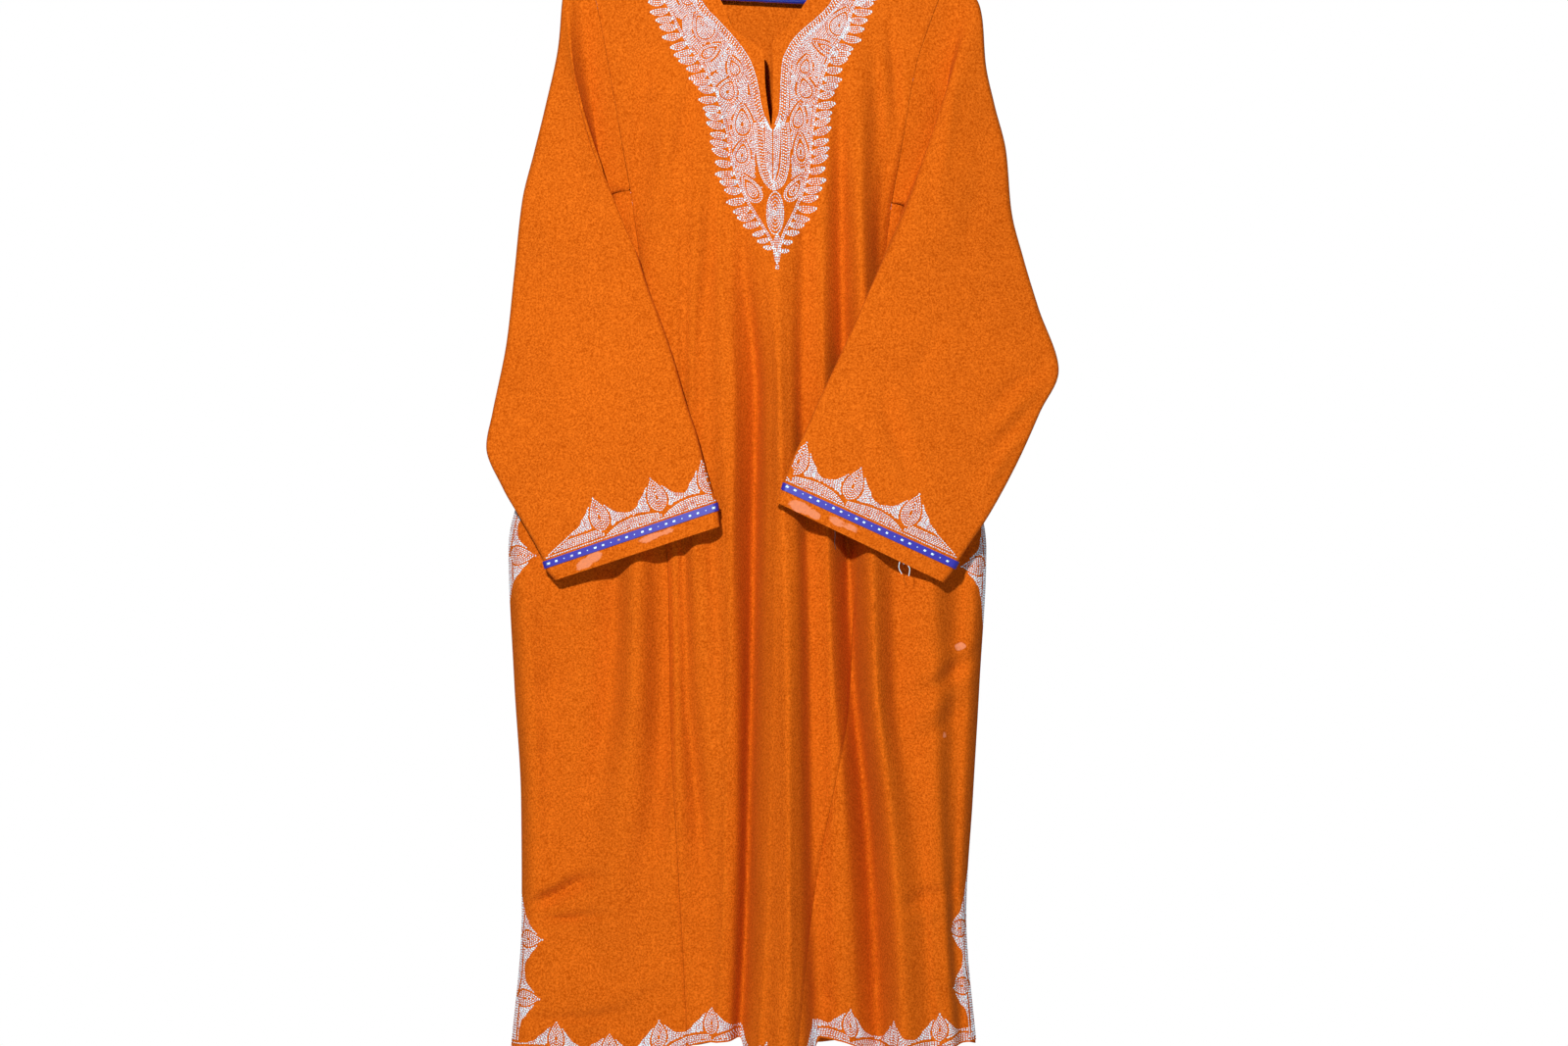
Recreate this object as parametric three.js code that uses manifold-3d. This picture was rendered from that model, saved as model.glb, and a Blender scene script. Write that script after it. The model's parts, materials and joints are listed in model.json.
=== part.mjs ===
// A pheran: a wide, straight-cut woollen tunic with a slit V neck, flared side panels and
// wide tapering sleeves, hanging on a tubular plastic clothes hanger with the sleeves lying
// over the front. Millimetres, +Z up, the front faces -Y. The origin is the inside top of
// the hook, where a rail carries it. "Drop" is the distance below the origin.
import * as THREE from 'three';
import { mergeVertices } from 'three/addons/utils/BufferGeometryUtils.js';
import Module from 'manifold-3d';

const wasm = await Module();
wasm.setup();

// ---- driving sizes -------------------------------------------------------------------------
const WALL = 1.6;
const SEAM_GAP = 0.3;
const HANGER_TURN = 2.9;
const ARM_RADIUS = 4.5;
const APEX_DROP = 80;
const TIP_X = 207;
const TIP_DROP = 170;
const BAR_X = 201;
const BAR_DROP = 180;
const TIP_CORNER = 5;
const HOOK_INNER_RADIUS = 20;
const HOOK_RADIUS = 3.5;
const SHOULDER_RADIUS = 6.9;
const TAPE_THICKNESS = 1.0;
const TAPE_LIFT = 0.3;

const WOOL = { color: 0xdd6410, roughness: 0.92, metalness: 0 };
const TAPE = { color: 0x3b35b8, roughness: 0.6, metalness: 0 };
const PLASTIC = { color: 0x12309a, roughness: 0.25, metalness: 0 };

// ---- fold tables ---------------------------------------------------------------------------
// Each row is one fold line that runs down the garment: x and y are its place at the drops in
// LEVELS, and crease is how sharply the cloth turns there, from 0 for round to 3 for an edge.
const LEVELS = [182, 302, 422, 582, 742, 882, 1002, 1122, 1262];

const FRONT_FOLDS = [
  { name: 'edge_left', crease: 3,
    x: [-205, -185, -174, -223, -283, -277, -270, -269, -280],
    y: [-0.15, -0.15, -0.15, -0.15, -0.15, -0.15, -0.15, -3, -6] },
  { name: 'round_left', crease: 0.3,
    x: [-193, -171, -163, -205, -261, -256, -250, -249, -259],
    y: [-10, -13, -7, -14, -19, -22, -22, -22, -20] },
  { name: 'valley_side', crease: 0.5,
    x: [-147, -137, -152, -171, -171, -176, -198, -223, -249],
    y: [-12, -17, -15, -18, -20, -19, -23, -28, -26] },
  { name: 'ridge_side', crease: 0,
    x: [-129, -117, -123, -141, -147, -149, -157, -169, -211],
    y: [-12, -24, -28, -29, -38, -40, -39, -37, -33] },
  { name: 'valley_seam', crease: 0.9,
    x: [-117, -110, -113, -121, -118, -117, -122, -149, -193],
    y: [-12, -24, -30, -31, -29, -27, -33, -37, -31] },
  { name: 'ridge_seam', crease: 0,
    x: [-110, -105, -106, -110, -109, -107, -103, -107, -117],
    y: [-12, -24, -31, -33, -36, -36, -39, -41, -39] },
  { name: 'valley_outer', crease: 1.8,
    x: [-103, -98, -99, -100, -99, -97, -87, -75, -75],
    y: [-12, -24, -27, -28, -27, -26, -30, -39, -41] },
  { name: 'ridge_outer', crease: 0,
    x: [-91, -87, -87, -92, -86, -80, -70, -65, -66],
    y: [-12, -24, -34, -37, -42, -41, -41, -42, -42] },
  { name: 'valley_upper', crease: 1.4,
    x: [-81, -76, -75, -84, -73, -59, -55, -56, -58],
    y: [-12, -25, -28, -33, -38, -42, -44, -44, -43] },
  { name: 'ridge_inner', crease: 0,
    x: [-59, -55, -59, -53, -50, -44, -44, -47, -52],
    y: [-12, -26, -35, -43, -46, -46, -46, -45, -43] },
  { name: 'valley_left', crease: 2,
    x: [-32, -32, -40, -25, -28, -31, -34, -37, -45],
    y: [-12, -26, -31, -25, -20, -20, -20, -20, -22] },
  { name: 'tube', crease: 0,
    x: [-7, -7, -7, 0, 4, 7, 7, 6, 3],
    y: [-12, -28, -44, -57, -63, -72, -74, -74, -70] },
  { name: 'valley_tube', crease: 1.4,
    x: [29, 30, 24, 20, 26, 28, 30, 32, 37],
    y: [-12, -25, -34, -41, -43, -45, -45, -42, -30] },
  { name: 'ridge_right', crease: 0,
    x: [47, 47, 42, 42, 47, 52, 59, 63, 67],
    y: [-12, -28, -38, -44, -46, -46, -46, -44, -35] },
  { name: 'valley_right', crease: 2.2,
    x: [61, 61, 63, 66, 70, 76, 88, 96, 102],
    y: [-12, -22, -22, -20, -18, -18, -18, -18, -18] },
  { name: 'ridge_main', crease: 0,
    x: [77, 77, 80, 85, 91, 95, 109, 120, 128],
    y: [-12, -28, -38, -46, -53, -58, -58, -56, -50] },
  { name: 'valley_far', crease: 1,
    x: [95, 96, 94, 106, 115, 117, 133, 148, 155],
    y: [-12, -21, -25, -34, -42, -42, -48, -46, -41] },
  { name: 'ridge_far', crease: 0,
    x: [129, 117, 103, 131, 148, 153, 159, 168, 177],
    y: [-12, -16, -14, -32, -43, -45, -45, -43, -37] },
  { name: 'round_right', crease: 0.3,
    x: [163, 134, 115, 147, 192, 185, 179, 176, 187],
    y: [-10, -13, -6, -15, -22, -24, -24, -22, -18] },
  { name: 'edge_right', crease: 3,
    x: [176, 149, 126, 164, 213, 206, 199, 192, 203],
    y: [-0.15, -0.15, -0.15, -0.15, -0.15, -0.15, -0.15, -3, -6] },
];

const BACK_FOLDS = [
  { name: 'edge_left', crease: 3,
    x: [-205, -185, -174, -223, -283, -277, -270, -269, -280],
    y: [0.15, 0.15, 0.15, 0.15, 0.15, 0.15, 0.15, 3, 7] },
  { name: 'round_left', crease: 0.3,
    x: [-193, -171, -163, -203, -259, -252, -245, -244, -254],
    y: [10, 13, 10, 14, 17, 19, 20, 20, 19] },
  { name: 'valley_side', crease: 0.6,
    x: [-137, -133, -133, -157, -177, -181, -197, -207, -217],
    y: [11, 13, 13, 14, 15, 15, 15, 16, 17] },
  { name: 'ridge_side', crease: 0,
    x: [-107, -101, -101, -113, -125, -129, -141, -149, -157],
    y: [12, 17, 21, 25, 28, 30, 31, 31, 30] },
  { name: 'valley_left', crease: 1,
    x: [-67, -65, -65, -69, -73, -75, -79, -83, -87],
    y: [12, 13, 14, 14, 14, 14, 14, 15, 17] },
  { name: 'ridge_middle', crease: 0,
    x: [-12, -15, -17, -21, -25, -27, -29, -31, -33],
    y: [12, 17, 22, 27, 30, 32, 33, 33, 32] },
  { name: 'valley_right', crease: 1.2,
    x: [31, 33, 31, 31, 33, 35, 37, 39, 41],
    y: [12, 13, 13, 14, 14, 14, 14, 15, 17] },
  { name: 'ridge_right', crease: 0,
    x: [71, 71, 71, 81, 87, 93, 97, 101, 105],
    y: [12, 17, 20, 25, 28, 29, 30, 30, 29] },
  { name: 'valley_far', crease: 0.6,
    x: [118, 103, 95, 119, 141, 141, 141, 141, 147],
    y: [11, 13, 13, 14, 15, 15, 15, 16, 17] },
  { name: 'round_right', crease: 0.3,
    x: [163, 134, 114, 145, 190, 181, 173, 167, 178],
    y: [10, 13, 10, 14, 17, 19, 20, 20, 19] },
  { name: 'edge_right', crease: 3,
    x: [176, 149, 126, 164, 213, 206, 199, 192, 203],
    y: [0.15, 0.15, 0.15, 0.15, 0.15, 0.15, 0.15, 3, 7] },
];

// The hem's drop along the width.
const HEM = {
  x: [-285, -231, -176, -125, -71, -42, -36, -15, 10, 32, 38, 59, 105, 162, 205],
  front: [1267, 1264, 1275, 1261, 1246, 1245, 1262, 1279, 1279, 1262, 1244, 1246, 1261, 1253, 1250],
  back: [1262, 1263, 1266, 1264, 1258, 1255, 1255, 1257, 1258, 1258, 1257, 1256, 1258, 1258, 1256],
};

// The seams between the centre panels and the sleeves, then the side panels.
const SEAM_LEFT = {
  drop: [120, 158, 190, 218, 253, 288, 325, 371, 398, 441, 602, 782, 912, 1075, 1203, 1300],
  x: [-202, -195, -188.5, -183, -176.7, -170.5, -164.2, -156, -152, -146, -130, -116, -114, -105,
    -98, -94],
};
const SEAM_RIGHT = {
  drop: [130, 163, 182, 210, 237, 262, 285, 307, 353, 384, 437, 632, 802, 904, 982, 1081, 1242, 1300],
  x: [179, 167, 160, 150, 141, 135.5, 131.5, 128, 120, 114.5, 108, 90, 75, 70, 55, 36, 18, 12],
};

// Behind, the same seams run straight down.
const BACK_SEAM_LEFT = { drop: [120, 158, 288, 371, 1300], x: [-202, -195, -170.5, -156, -104] };
const BACK_SEAM_RIGHT = { drop: [130, 163, 262, 384, 1300], x: [179, 167, 135.5, 114.5, 100] };

// The slit V neck in the front, from shoulder to shoulder, and the flat scoop in the back.
const FRONT_NECK = {
  x: [-98, -92, -80, -68, -59, -50, -44, -37, -28, -20, -17.5, -16.5, -14, -10.4, -9.6, -8.6, -8.4, -8.6,
    -9, -4, 1, 7, 13, 22, 33, 46, 63, 78, 84],
  drop: [100, 132, 150, 166, 182, 204, 210, 215, 221, 227, 235, 262, 285, 309, 309, 285, 262, 240,
    219, 214, 209, 203, 197, 182, 166, 150, 134, 122, 100],
};
const BACK_NECK = {
  x: [-98, -90, -72, -40, 0, 40, 58, 76, 84],
  drop: [100, 124, 130, 132, 132, 132, 132, 126, 100],
};

// ---- sleeve tables -------------------------------------------------------------------------
// Each row is one section of a sleeve, from the armhole to the cuff's edge. outer and inner are
// the ends of the section as x and drop, y is the depth of its middle at both ends, round is the
// radius at both ends, bulge is the extra half thickness in front and behind, and bow moves the
// middle of the section sideways.
const SLEEVE_LEFT = [
  { outer: [-208, 148], inner: [-182, 380], y: [0, -7], round: [8, 5], bulge: [-5, 2], bow: 3 },
  { outer: [-220, 153], inner: [-172, 393], y: [0, -18], round: [8, 5], bulge: [9, 3], bow: 12 },
  { outer: [-226, 167], inner: [-163, 409], y: [-1, -27], round: [8, 5], bulge: [9, 4], bow: 10 },
  { outer: [-231, 220], inner: [-155, 425], y: [-2, -30], round: [8, 5], bulge: [8, 4], bow: 3 },
  { outer: [-244, 282], inner: [-147, 441], y: [-4, -32], round: [7, 5], bulge: [7, 4], bow: 0 },
  { outer: [-256, 332], inner: [-141, 460], y: [-6, -34], round: [7, 5], bulge: [6, 4], bow: 0 },
  { outer: [-268, 382], inner: [-135, 478], y: [-8, -36], round: [6, 5], bulge: [6, 4], bow: 0 },
  { outer: [-276, 457], inner: [-125, 504], y: [-10, -39], round: [6, 5], bulge: [5, 4], bow: 0 },
  { outer: [-283, 527], inner: [-111, 544], y: [-16, -43], round: [6, 5], bulge: [5, 3], bow: 0 },
  { outer: [-297, 602], inner: [-97, 592], y: [-24, -48], round: [5, 5], bulge: [6, 3], bow: 0 },
  { outer: [-303, 637], inner: [-86, 625], y: [-27, -52], round: [5, 5], bulge: [6, 3], bow: 0 },
  { outer: [-286, 679], inner: [-78, 655], y: [-31, -55], round: [5, 5], bulge: [5, 3], bow: 0 },
  { outer: [-266, 713], inner: [-71, 679], y: [-35, -59], round: [5, 5], bulge: [4, 3], bow: 0 },
  { outer: [-243, 755], inner: [-65, 695], y: [-39, -62], round: [5, 5], bulge: [4, 3], bow: 0 },
  { outer: [-241, 762], inner: [-64, 703], y: [-39, -63], round: [5, 5], bulge: [4, 3], bow: 0 },
  { outer: [-231, 774], inner: [-62, 719], y: [-39, -64], round: [5, 5], bulge: [4, 3], bow: 0 },
];
const SLEEVE_RIGHT = [
  { outer: [184, 164], inner: [140, 394], y: [0, -7], round: [8, 5], bulge: [-5, 2], bow: -7 },
  { outer: [203, 172], inner: [125, 404], y: [0, -16], round: [8, 5], bulge: [9, 3], bow: 0 },
  { outer: [209, 194], inner: [115, 422], y: [-2, -28], round: [8, 5], bulge: [9, 4], bow: 0 },
  { outer: [212, 238], inner: [106, 441], y: [-4, -38], round: [8, 5], bulge: [8, 3], bow: 0 },
  { outer: [221, 282], inner: [97, 462], y: [-6, -47], round: [7, 5], bulge: [7, 3], bow: 0 },
  { outer: [233, 332], inner: [87, 485], y: [-9, -53], round: [7, 5], bulge: [6, 3], bow: 0 },
  { outer: [238, 392], inner: [77, 508], y: [-12, -55], round: [7, 5], bulge: [6, 3], bow: 0 },
  { outer: [250, 442], inner: [66, 532], y: [-16, -57], round: [6, 5], bulge: [6, 3], bow: 0 },
  { outer: [265, 494], inner: [53, 560], y: [-22, -60], round: [6, 5], bulge: [6, 3], bow: 0 },
  { outer: [285, 558], inner: [38, 592], y: [-30, -64], round: [5, 5], bulge: [6, 3], bow: 0 },
  { outer: [265, 602], inner: [25, 622], y: [-40, -69], round: [5, 5], bulge: [6, 3], bow: 0 },
  { outer: [243, 650], inner: [14, 645], y: [-46, -72], round: [5, 5], bulge: [6, 3], bow: 0 },
  { outer: [213, 705], inner: [7, 663], y: [-53, -76], round: [5, 5], bulge: [5, 3], bow: 0 },
  { outer: [180, 755], inner: [3, 675], y: [-58, -78], round: [5, 5], bulge: [5, 3], bow: 0 },
  { outer: [176, 762], inner: [1, 682], y: [-59, -79], round: [5, 5], bulge: [5, 3], bow: 0 },
  { outer: [165, 776], inner: [-6, 694], y: [-60, -79], round: [5, 5], bulge: [4, 3], bow: 0 },
];
const TAPE_SECTIONS = [14, 15];
const RING_POINTS = 34;

// ---- smooth tables -------------------------------------------------------------------------
// A monotone cubic through the points (a, b), which never swings past them.
function smooth(a, b, at) {
  const last = a.length - 1;
  if (at <= a[0]) return b[0];
  if (at >= a[last]) return b[last];
  let i = 0;
  while (at > a[i + 1]) i += 1;
  const rise = (k) => (b[k + 1] - b[k]) / (a[k + 1] - a[k]);
  const slope = (k) => {
    if (k === 0) return rise(0);
    if (k === last) return rise(last - 1);
    const before = rise(k - 1);
    const after = rise(k);
    return before * after <= 0 ? 0 : (2 * before * after) / (before + after);
  };
  const h = a[i + 1] - a[i];
  const t = (at - a[i]) / h;
  const even = 3 * t * t - 2 * t * t * t;
  return b[i] * (1 - even) + b[i + 1] * even
    + h * slope(i) * t * (1 - t) * (1 - t) + h * slope(i + 1) * t * t * (t - 1);
}

function straight(a, b, at) {
  if (at <= a[0]) return b[0];
  let i = 0;
  while (i < a.length - 2 && at > a[i + 1]) i += 1;
  const t = Math.min(1, (at - a[i]) / (a[i + 1] - a[i]));
  return b[i] + (b[i + 1] - b[i]) * t;
}

// The rise from one fold line to the next, steep at a creased one and level at a round one.
function foldRise(t, creaseA, creaseB) {
  return 3 * t * t - 2 * t * t * t + creaseA * t * (1 - t) * (1 - t) + creaseB * t * t * (t - 1);
}

function foldLine(fold, drop) {
  return { x: smooth(LEVELS, fold.x, drop), y: smooth(LEVELS, fold.y, drop) };
}

// The depth of a draped layer at any place of its outer surface.
function depthAt(folds, x, drop) {
  const lines = folds.map((fold) => foldLine(fold, drop));
  let i = 0;
  while (i < lines.length - 2 && x > lines[i + 1].x) i += 1;
  const t = Math.min(1, Math.max(0, (x - lines[i].x) / (lines[i + 1].x - lines[i].x)));
  const rise = foldRise(t, folds[i].crease, folds[i + 1].crease);
  return lines[i].y + (lines[i + 1].y - lines[i].y) * rise;
}

// ---- the hanger's arms in the garment's frame ----------------------------------------------
const TURN = THREE.MathUtils.degToRad(HANGER_TURN);
function turned(x, z) {
  return { x: x * Math.cos(TURN) + z * Math.sin(TURN), z: -x * Math.sin(TURN) + z * Math.cos(TURN) };
}
const APEX = turned(0, -APEX_DROP);
const TIPS = { left: turned(-TIP_X, -TIP_DROP), right: turned(TIP_X, -TIP_DROP) };

function armAt(x) {
  const tip = x < APEX.x ? TIPS.left : TIPS.right;
  const slope = (tip.z - APEX.z) / (tip.x - APEX.x);
  return { drop: -(APEX.z + (x - APEX.x) * slope), stretch: Math.hypot(1, slope) };
}

// ---- closed walls --------------------------------------------------------------------------
// Turns a grid of outer points, rows of equal length, into a closed wall. loop joins the last
// column to the first. inward gives each point's own direction where the average one won't do.
function wallFromGrid(rows, thickness, loop, inward) {
  const height = rows.length;
  const width = rows[0].length;
  const at = (r, c) => r * width + c;
  const outer = rows.flat();
  const normals = outer.map(() => new THREE.Vector3());
  const faces = [];
  const spans = loop ? width : width - 1;
  for (let r = 0; r < height - 1; r += 1) {
    for (let c = 0; c < spans; c += 1) {
      const d = (c + 1) % width;
      faces.push([at(r, c), at(r + 1, c), at(r + 1, d)]);
      faces.push([at(r, c), at(r + 1, d), at(r, d)]);
    }
  }
  for (const [a, b, c] of faces) {
    const ab = outer[b].clone().sub(outer[a]);
    const ac = outer[c].clone().sub(outer[a]);
    const normal = ab.cross(ac);
    const size = normal.length();
    if (size < 1e-9) continue;
    normal.divideScalar(Math.sqrt(size));
    for (const k of [a, b, c]) normals[k].add(normal);
  }
  const points = outer.map((p) => p.clone());
  outer.forEach((p, k) => {
    const own = inward ? inward(Math.floor(k / width), k % width) : null;
    const step = own || normals[k].normalize().clone().negate();
    points.push(p.clone().addScaledVector(step, thickness));
  });
  const shift = outer.length;
  const index = [];
  for (const [a, b, c] of faces) {
    index.push(a, b, c);
    index.push(a + shift, c + shift, b + shift);
  }
  const rim = (a, b) => index.push(b, a, a + shift, b, a + shift, b + shift);
  for (let c = 0; c < spans; c += 1) {
    const d = (c + 1) % width;
    rim(at(0, d), at(0, c));
    rim(at(height - 1, c), at(height - 1, d));
  }
  if (!loop) {
    for (let r = 0; r < height - 1; r += 1) {
      rim(at(r, 0), at(r + 1, 0));
      rim(at(r + 1, width - 1), at(r, width - 1));
    }
  }
  return solid(points, index);
}

function solid(points, index) {
  const geometry = new THREE.BufferGeometry();
  geometry.setAttribute('position', new THREE.Float32BufferAttribute(points.flatMap((p) => p.toArray()), 3));
  geometry.setIndex(index);
  return geometry;
}

// ---- cutting and joining -------------------------------------------------------------------
function toManifold(geometry) {
  const bare = geometry.clone();
  bare.deleteAttribute('normal');
  bare.deleteAttribute('uv');
  const merged = mergeVertices(bare, 1e-4);
  return new wasm.Manifold(new wasm.Mesh({
    numProp: 3,
    vertProperties: new Float32Array(merged.attributes.position.array),
    triVerts: new Uint32Array(merged.index.array),
  }));
}

function fromManifold(body) {
  const mesh = body.getMesh();
  const geometry = new THREE.BufferGeometry();
  geometry.setAttribute('position', new THREE.BufferAttribute(new Float32Array(mesh.vertProperties), 3));
  geometry.setIndex(new THREE.BufferAttribute(new Uint32Array(mesh.triVerts), 1));
  return geometry;
}

// A flat outline in x and drop, carried straight through from one depth to another.
function knife(outline, yFrom, yTo) {
  const shape = new THREE.Shape(outline.map(([x, drop]) => new THREE.Vector2(x, -drop)));
  const geometry = new THREE.ExtrudeGeometry(shape, { depth: yTo - yFrom, bevelEnabled: false });
  geometry.rotateX(Math.PI / 2);
  geometry.translate(0, yTo, 0);
  return toManifold(geometry);
}

const pairs = (table, shift) => table.drop.map((drop, i) => [table.x[i] + shift, drop]);
// A seam's smooth line, shifted sideways.
function seamLine(table, shift) {
  const points = [];
  for (let drop = table.drop[0]; drop < 430; drop += 12) points.push([smooth(table.drop, table.x, drop) + shift, drop]);
  for (let drop = 440; drop <= 1300; drop += 43) points.push([smooth(table.drop, table.x, drop) + shift, drop]);
  return points;
}

function centreOutline(leftSeam, rightSeam) {
  const half = SEAM_GAP / 2;
  const left = seamLine(leftSeam, half);
  const right = seamLine(rightSeam, -half).reverse();
  return [[left[0][0], 60], ...left, [left[left.length - 1][0], 1400],
    [right[0][0], 1400], ...right, [right[right.length - 1][0], 60]];
}

function sideOutline(side, table) {
  const half = SEAM_GAP / 2;
  const underarm = side < 0 ? LEFT_UNDERARM : RIGHT_UNDERARM;
  const seam = seamLine(table, side * half).filter(([, drop]) => drop > underarm.seam[1] + 1);
  const below = 4 * SEAM_GAP;
  return [[side * 400, underarm.tip[1] + 2 * below], [underarm.tip[0], underarm.tip[1] + 2 * below],
    [underarm.seam[0] + side * half, underarm.seam[1] + below], ...seam,
    [seam[seam.length - 1][0], 1400], [side * 400, 1400]];
}

// The short underarm seam, from the armhole's foot out to the body's own edge.
const edgeX = (fold, drop) => foldLine(fold, drop).x;
const LEFT_UNDERARM = { seam: [-156, 371], tip: [edgeX(FRONT_FOLDS[0], 374.5) - 0.5, 374.5] };
const RIGHT_UNDERARM = { seam: [114.5, 384], tip: [edgeX(FRONT_FOLDS.at(-1), 387) + 0.5, 387] };

// ---- the draped layers ---------------------------------------------------------------------
// Rows run from the shoulder, over the hanger's arm, down to the hem. Columns follow the fold
// lines, with steps between them.
const WRAP_ANGLES = [0, 30, 60, 90];
const ROW_DROPS = [240, 280, 325, 372, 422, 475, 530, 582, 640, 700, 760, 822, 882, 942, 1002, 1062, 1122];
const BACK_ROW_DROPS = [240, 325, 422, 530, 640, 760, 882, 1002, 1122];

function layer(folds, hem, steps, rowDrops) {
  const facing = Math.sign(folds[1].y[0]);
  const columns = [];
  folds.forEach((fold, i) => {
    if (i === folds.length - 1) columns.push({ i: i - 1, t: 1 });
    else for (const t of steps(i)) columns.push({ i, t });
  });
  const place = (column, drop) => {
    const a = foldLine(folds[column.i], drop);
    const b = foldLine(folds[column.i + 1], drop);
    const rise = foldRise(column.t, folds[column.i].crease, folds[column.i + 1].crease);
    return { x: a.x + (b.x - a.x) * column.t, y: a.y + (b.y - a.y) * rise };
  };
  const rows = [];
  const shoulder = columns.map((column) => place(column, LEVELS[0]).x);
  for (const angle of WRAP_ANGLES) {
    const turn = THREE.MathUtils.degToRad(angle);
    rows.push(columns.map((column, c) => {
      const arm = armAt(shoulder[c]);
      const y = facing * Math.max(SEAM_GAP / 2, SHOULDER_RADIUS * Math.sin(turn));
      return new THREE.Vector3(shoulder[c], y, -arm.drop + SHOULDER_RADIUS * arm.stretch * Math.cos(turn));
    }));
  }
  for (const share of [0.35, 0.7]) {
    rows.push(columns.map((column, c) => {
      const arm = armAt(shoulder[c]);
      const drop = arm.drop + (rowDrops[0] - arm.drop) * share;
      const spot = place(column, drop);
      const start = facing * SHOULDER_RADIUS;
      const target = place(column, Math.max(LEVELS[0], drop)).y;
      const ease = Math.min(1, (drop - arm.drop) / 45);
      return new THREE.Vector3(spot.x, start + (target - start) * ease, -drop);
    }));
  }
  for (const drop of rowDrops) {
    rows.push(columns.map((column) => {
      const spot = place(column, drop);
      return new THREE.Vector3(spot.x, spot.y, -drop);
    }));
  }
  const lastDrop = rowDrops[rowDrops.length - 1];
  for (const share of [0.5, 1]) {
    rows.push(columns.map((column) => {
      const end = smooth(HEM.x, hem, place(column, LEVELS[8]).x);
      const drop = lastDrop + (end - lastDrop) * share;
      const spot = place(column, drop);
      return new THREE.Vector3(spot.x, spot.y, -drop);
    }));
  }
  if (facing > 0) rows.forEach((row) => row.reverse());
  return rows;
}

const frontSteps = (i) => {
  if (i === 0) return [0, 0.12, 0.4];
  if (FRONT_FOLDS[i].crease > 1 || FRONT_FOLDS[i + 1].crease > 1) return [0, 0.35, 0.7];
  return [0, 0.5];
};
const frontRightEdge = (i) => (i === FRONT_FOLDS.length - 2 ? [0, 0.6, 0.88] : frontSteps(i));
const backSteps = (i) => {
  if (i === 0) return [0, 0.12, 0.4];
  if (i === BACK_FOLDS.length - 2) return [0, 0.6, 0.88];
  return [0, 0.5];
};

const frontRows = layer(FRONT_FOLDS, HEM.front, frontRightEdge, ROW_DROPS);
const backRows = layer(BACK_FOLDS, HEM.back, backSteps, BACK_ROW_DROPS);
// The wall turns straight down at the shoulder seam and straight in at the side seams.
function layerInward(rows) {
  const last = rows[0].length - 1;
  const leftFirst = rows[0][0].x < rows[0][last].x;
  return (r, c) => {
    if (r === 0) return new THREE.Vector3(0, 0, -1);
    if (c === 0) return new THREE.Vector3(leftFirst ? 1 : -1, 0, 0);
    if (c === last) return new THREE.Vector3(leftFirst ? -1 : 1, 0, 0);
    return null;
  };
}
const frontLayer = toManifold(wallFromGrid(frontRows, WALL, false, layerInward(frontRows)));
const backLayer = toManifold(wallFromGrid(backRows, WALL, false, layerInward(backRows)));

const centre = knife(centreOutline(SEAM_LEFT, SEAM_RIGHT), -200, 200);
const backCentre = knife(centreOutline(BACK_SEAM_LEFT, BACK_SEAM_RIGHT), -200, 200);
const neckOutline = (table) => [[table.x[0], 40], ...pairs(table, 0), [table.x[table.x.length - 1], 40]];
const frontNeck = knife(neckOutline(FRONT_NECK), -200, 0);
const backNeck = knife(neckOutline(BACK_NECK), 0, 200);

// ---- sleeves -------------------------------------------------------------------------------
// The armhole section follows the seam round the front and back of the body.
function armholeRing(side) {
  const underarm = side < 0 ? LEFT_UNDERARM : RIGHT_UNDERARM;
  const half = SEAM_GAP / 2;
  const frontSeam = side < 0 ? SEAM_LEFT : SEAM_RIGHT;
  const backSeam = side < 0 ? BACK_SEAM_LEFT : BACK_SEAM_RIGHT;
  const top = armAt(frontSeam.x[1]);
  const path = (folds, table, facingY) => {
    const seamX = (drop) => smooth(table.drop, table.x, drop) + side * 1.5 * half;
    const points = [];
    for (const angle of WRAP_ANGLES) {
      const turn = THREE.MathUtils.degToRad(angle);
      const drop = top.drop - SHOULDER_RADIUS * top.stretch * Math.cos(turn);
      points.push(new THREE.Vector3(seamX(drop), facingY * SHOULDER_RADIUS * Math.sin(turn), -drop));
    }
    for (let k = 1; k <= 9; k += 1) {
      const drop = top.drop + ((underarm.seam[1] - top.drop) * k) / 9;
      const x = seamX(drop);
      const ease = Math.min(1, (drop - top.drop) / 45);
      const depth = depthAt(folds, x, Math.max(LEVELS[0], drop));
      points.push(new THREE.Vector3(x, facingY * SHOULDER_RADIUS * (1 - ease) + depth * ease, -drop));
    }
    const tip = new THREE.Vector3(underarm.tip[0], 0, -underarm.tip[1] + half);
    points[points.length - 1].z += half;
    points.push(tip);
    return points;
  };
  const front = resample(path(FRONT_FOLDS, frontSeam, -1));
  const back = resample(path(BACK_FOLDS, backSeam, 1));
  return front.concat(back.slice(1, -1).reverse());
}

// Where a ring's points lie across its section, closer together at the two folded ends.
const SHARES = [0, 0.01, 0.026, 0.052, 0.1, 0.18, 0.27, 0.36, 0.45, 0.55, 0.64, 0.73, 0.82, 0.9, 0.948,
  0.974, 0.99, 1];
const ringShare = (k) => SHARES[k < SHARES.length ? k : RING_POINTS - k];

function resample(points) {
  const lengths = [0];
  for (let i = 1; i < points.length; i += 1) lengths.push(lengths[i - 1] + points[i].distanceTo(points[i - 1]));
  const total = lengths[lengths.length - 1];
  const out = [];
  for (let k = 0; k <= RING_POINTS / 2; k += 1) {
    const at = total * ringShare(k);
    const pick = (axis) => straight(lengths, points.map((p) => p[axis]), at);
    out.push(new THREE.Vector3(pick('x'), pick('y'), pick('z')));
  }
  return out;
}

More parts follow.
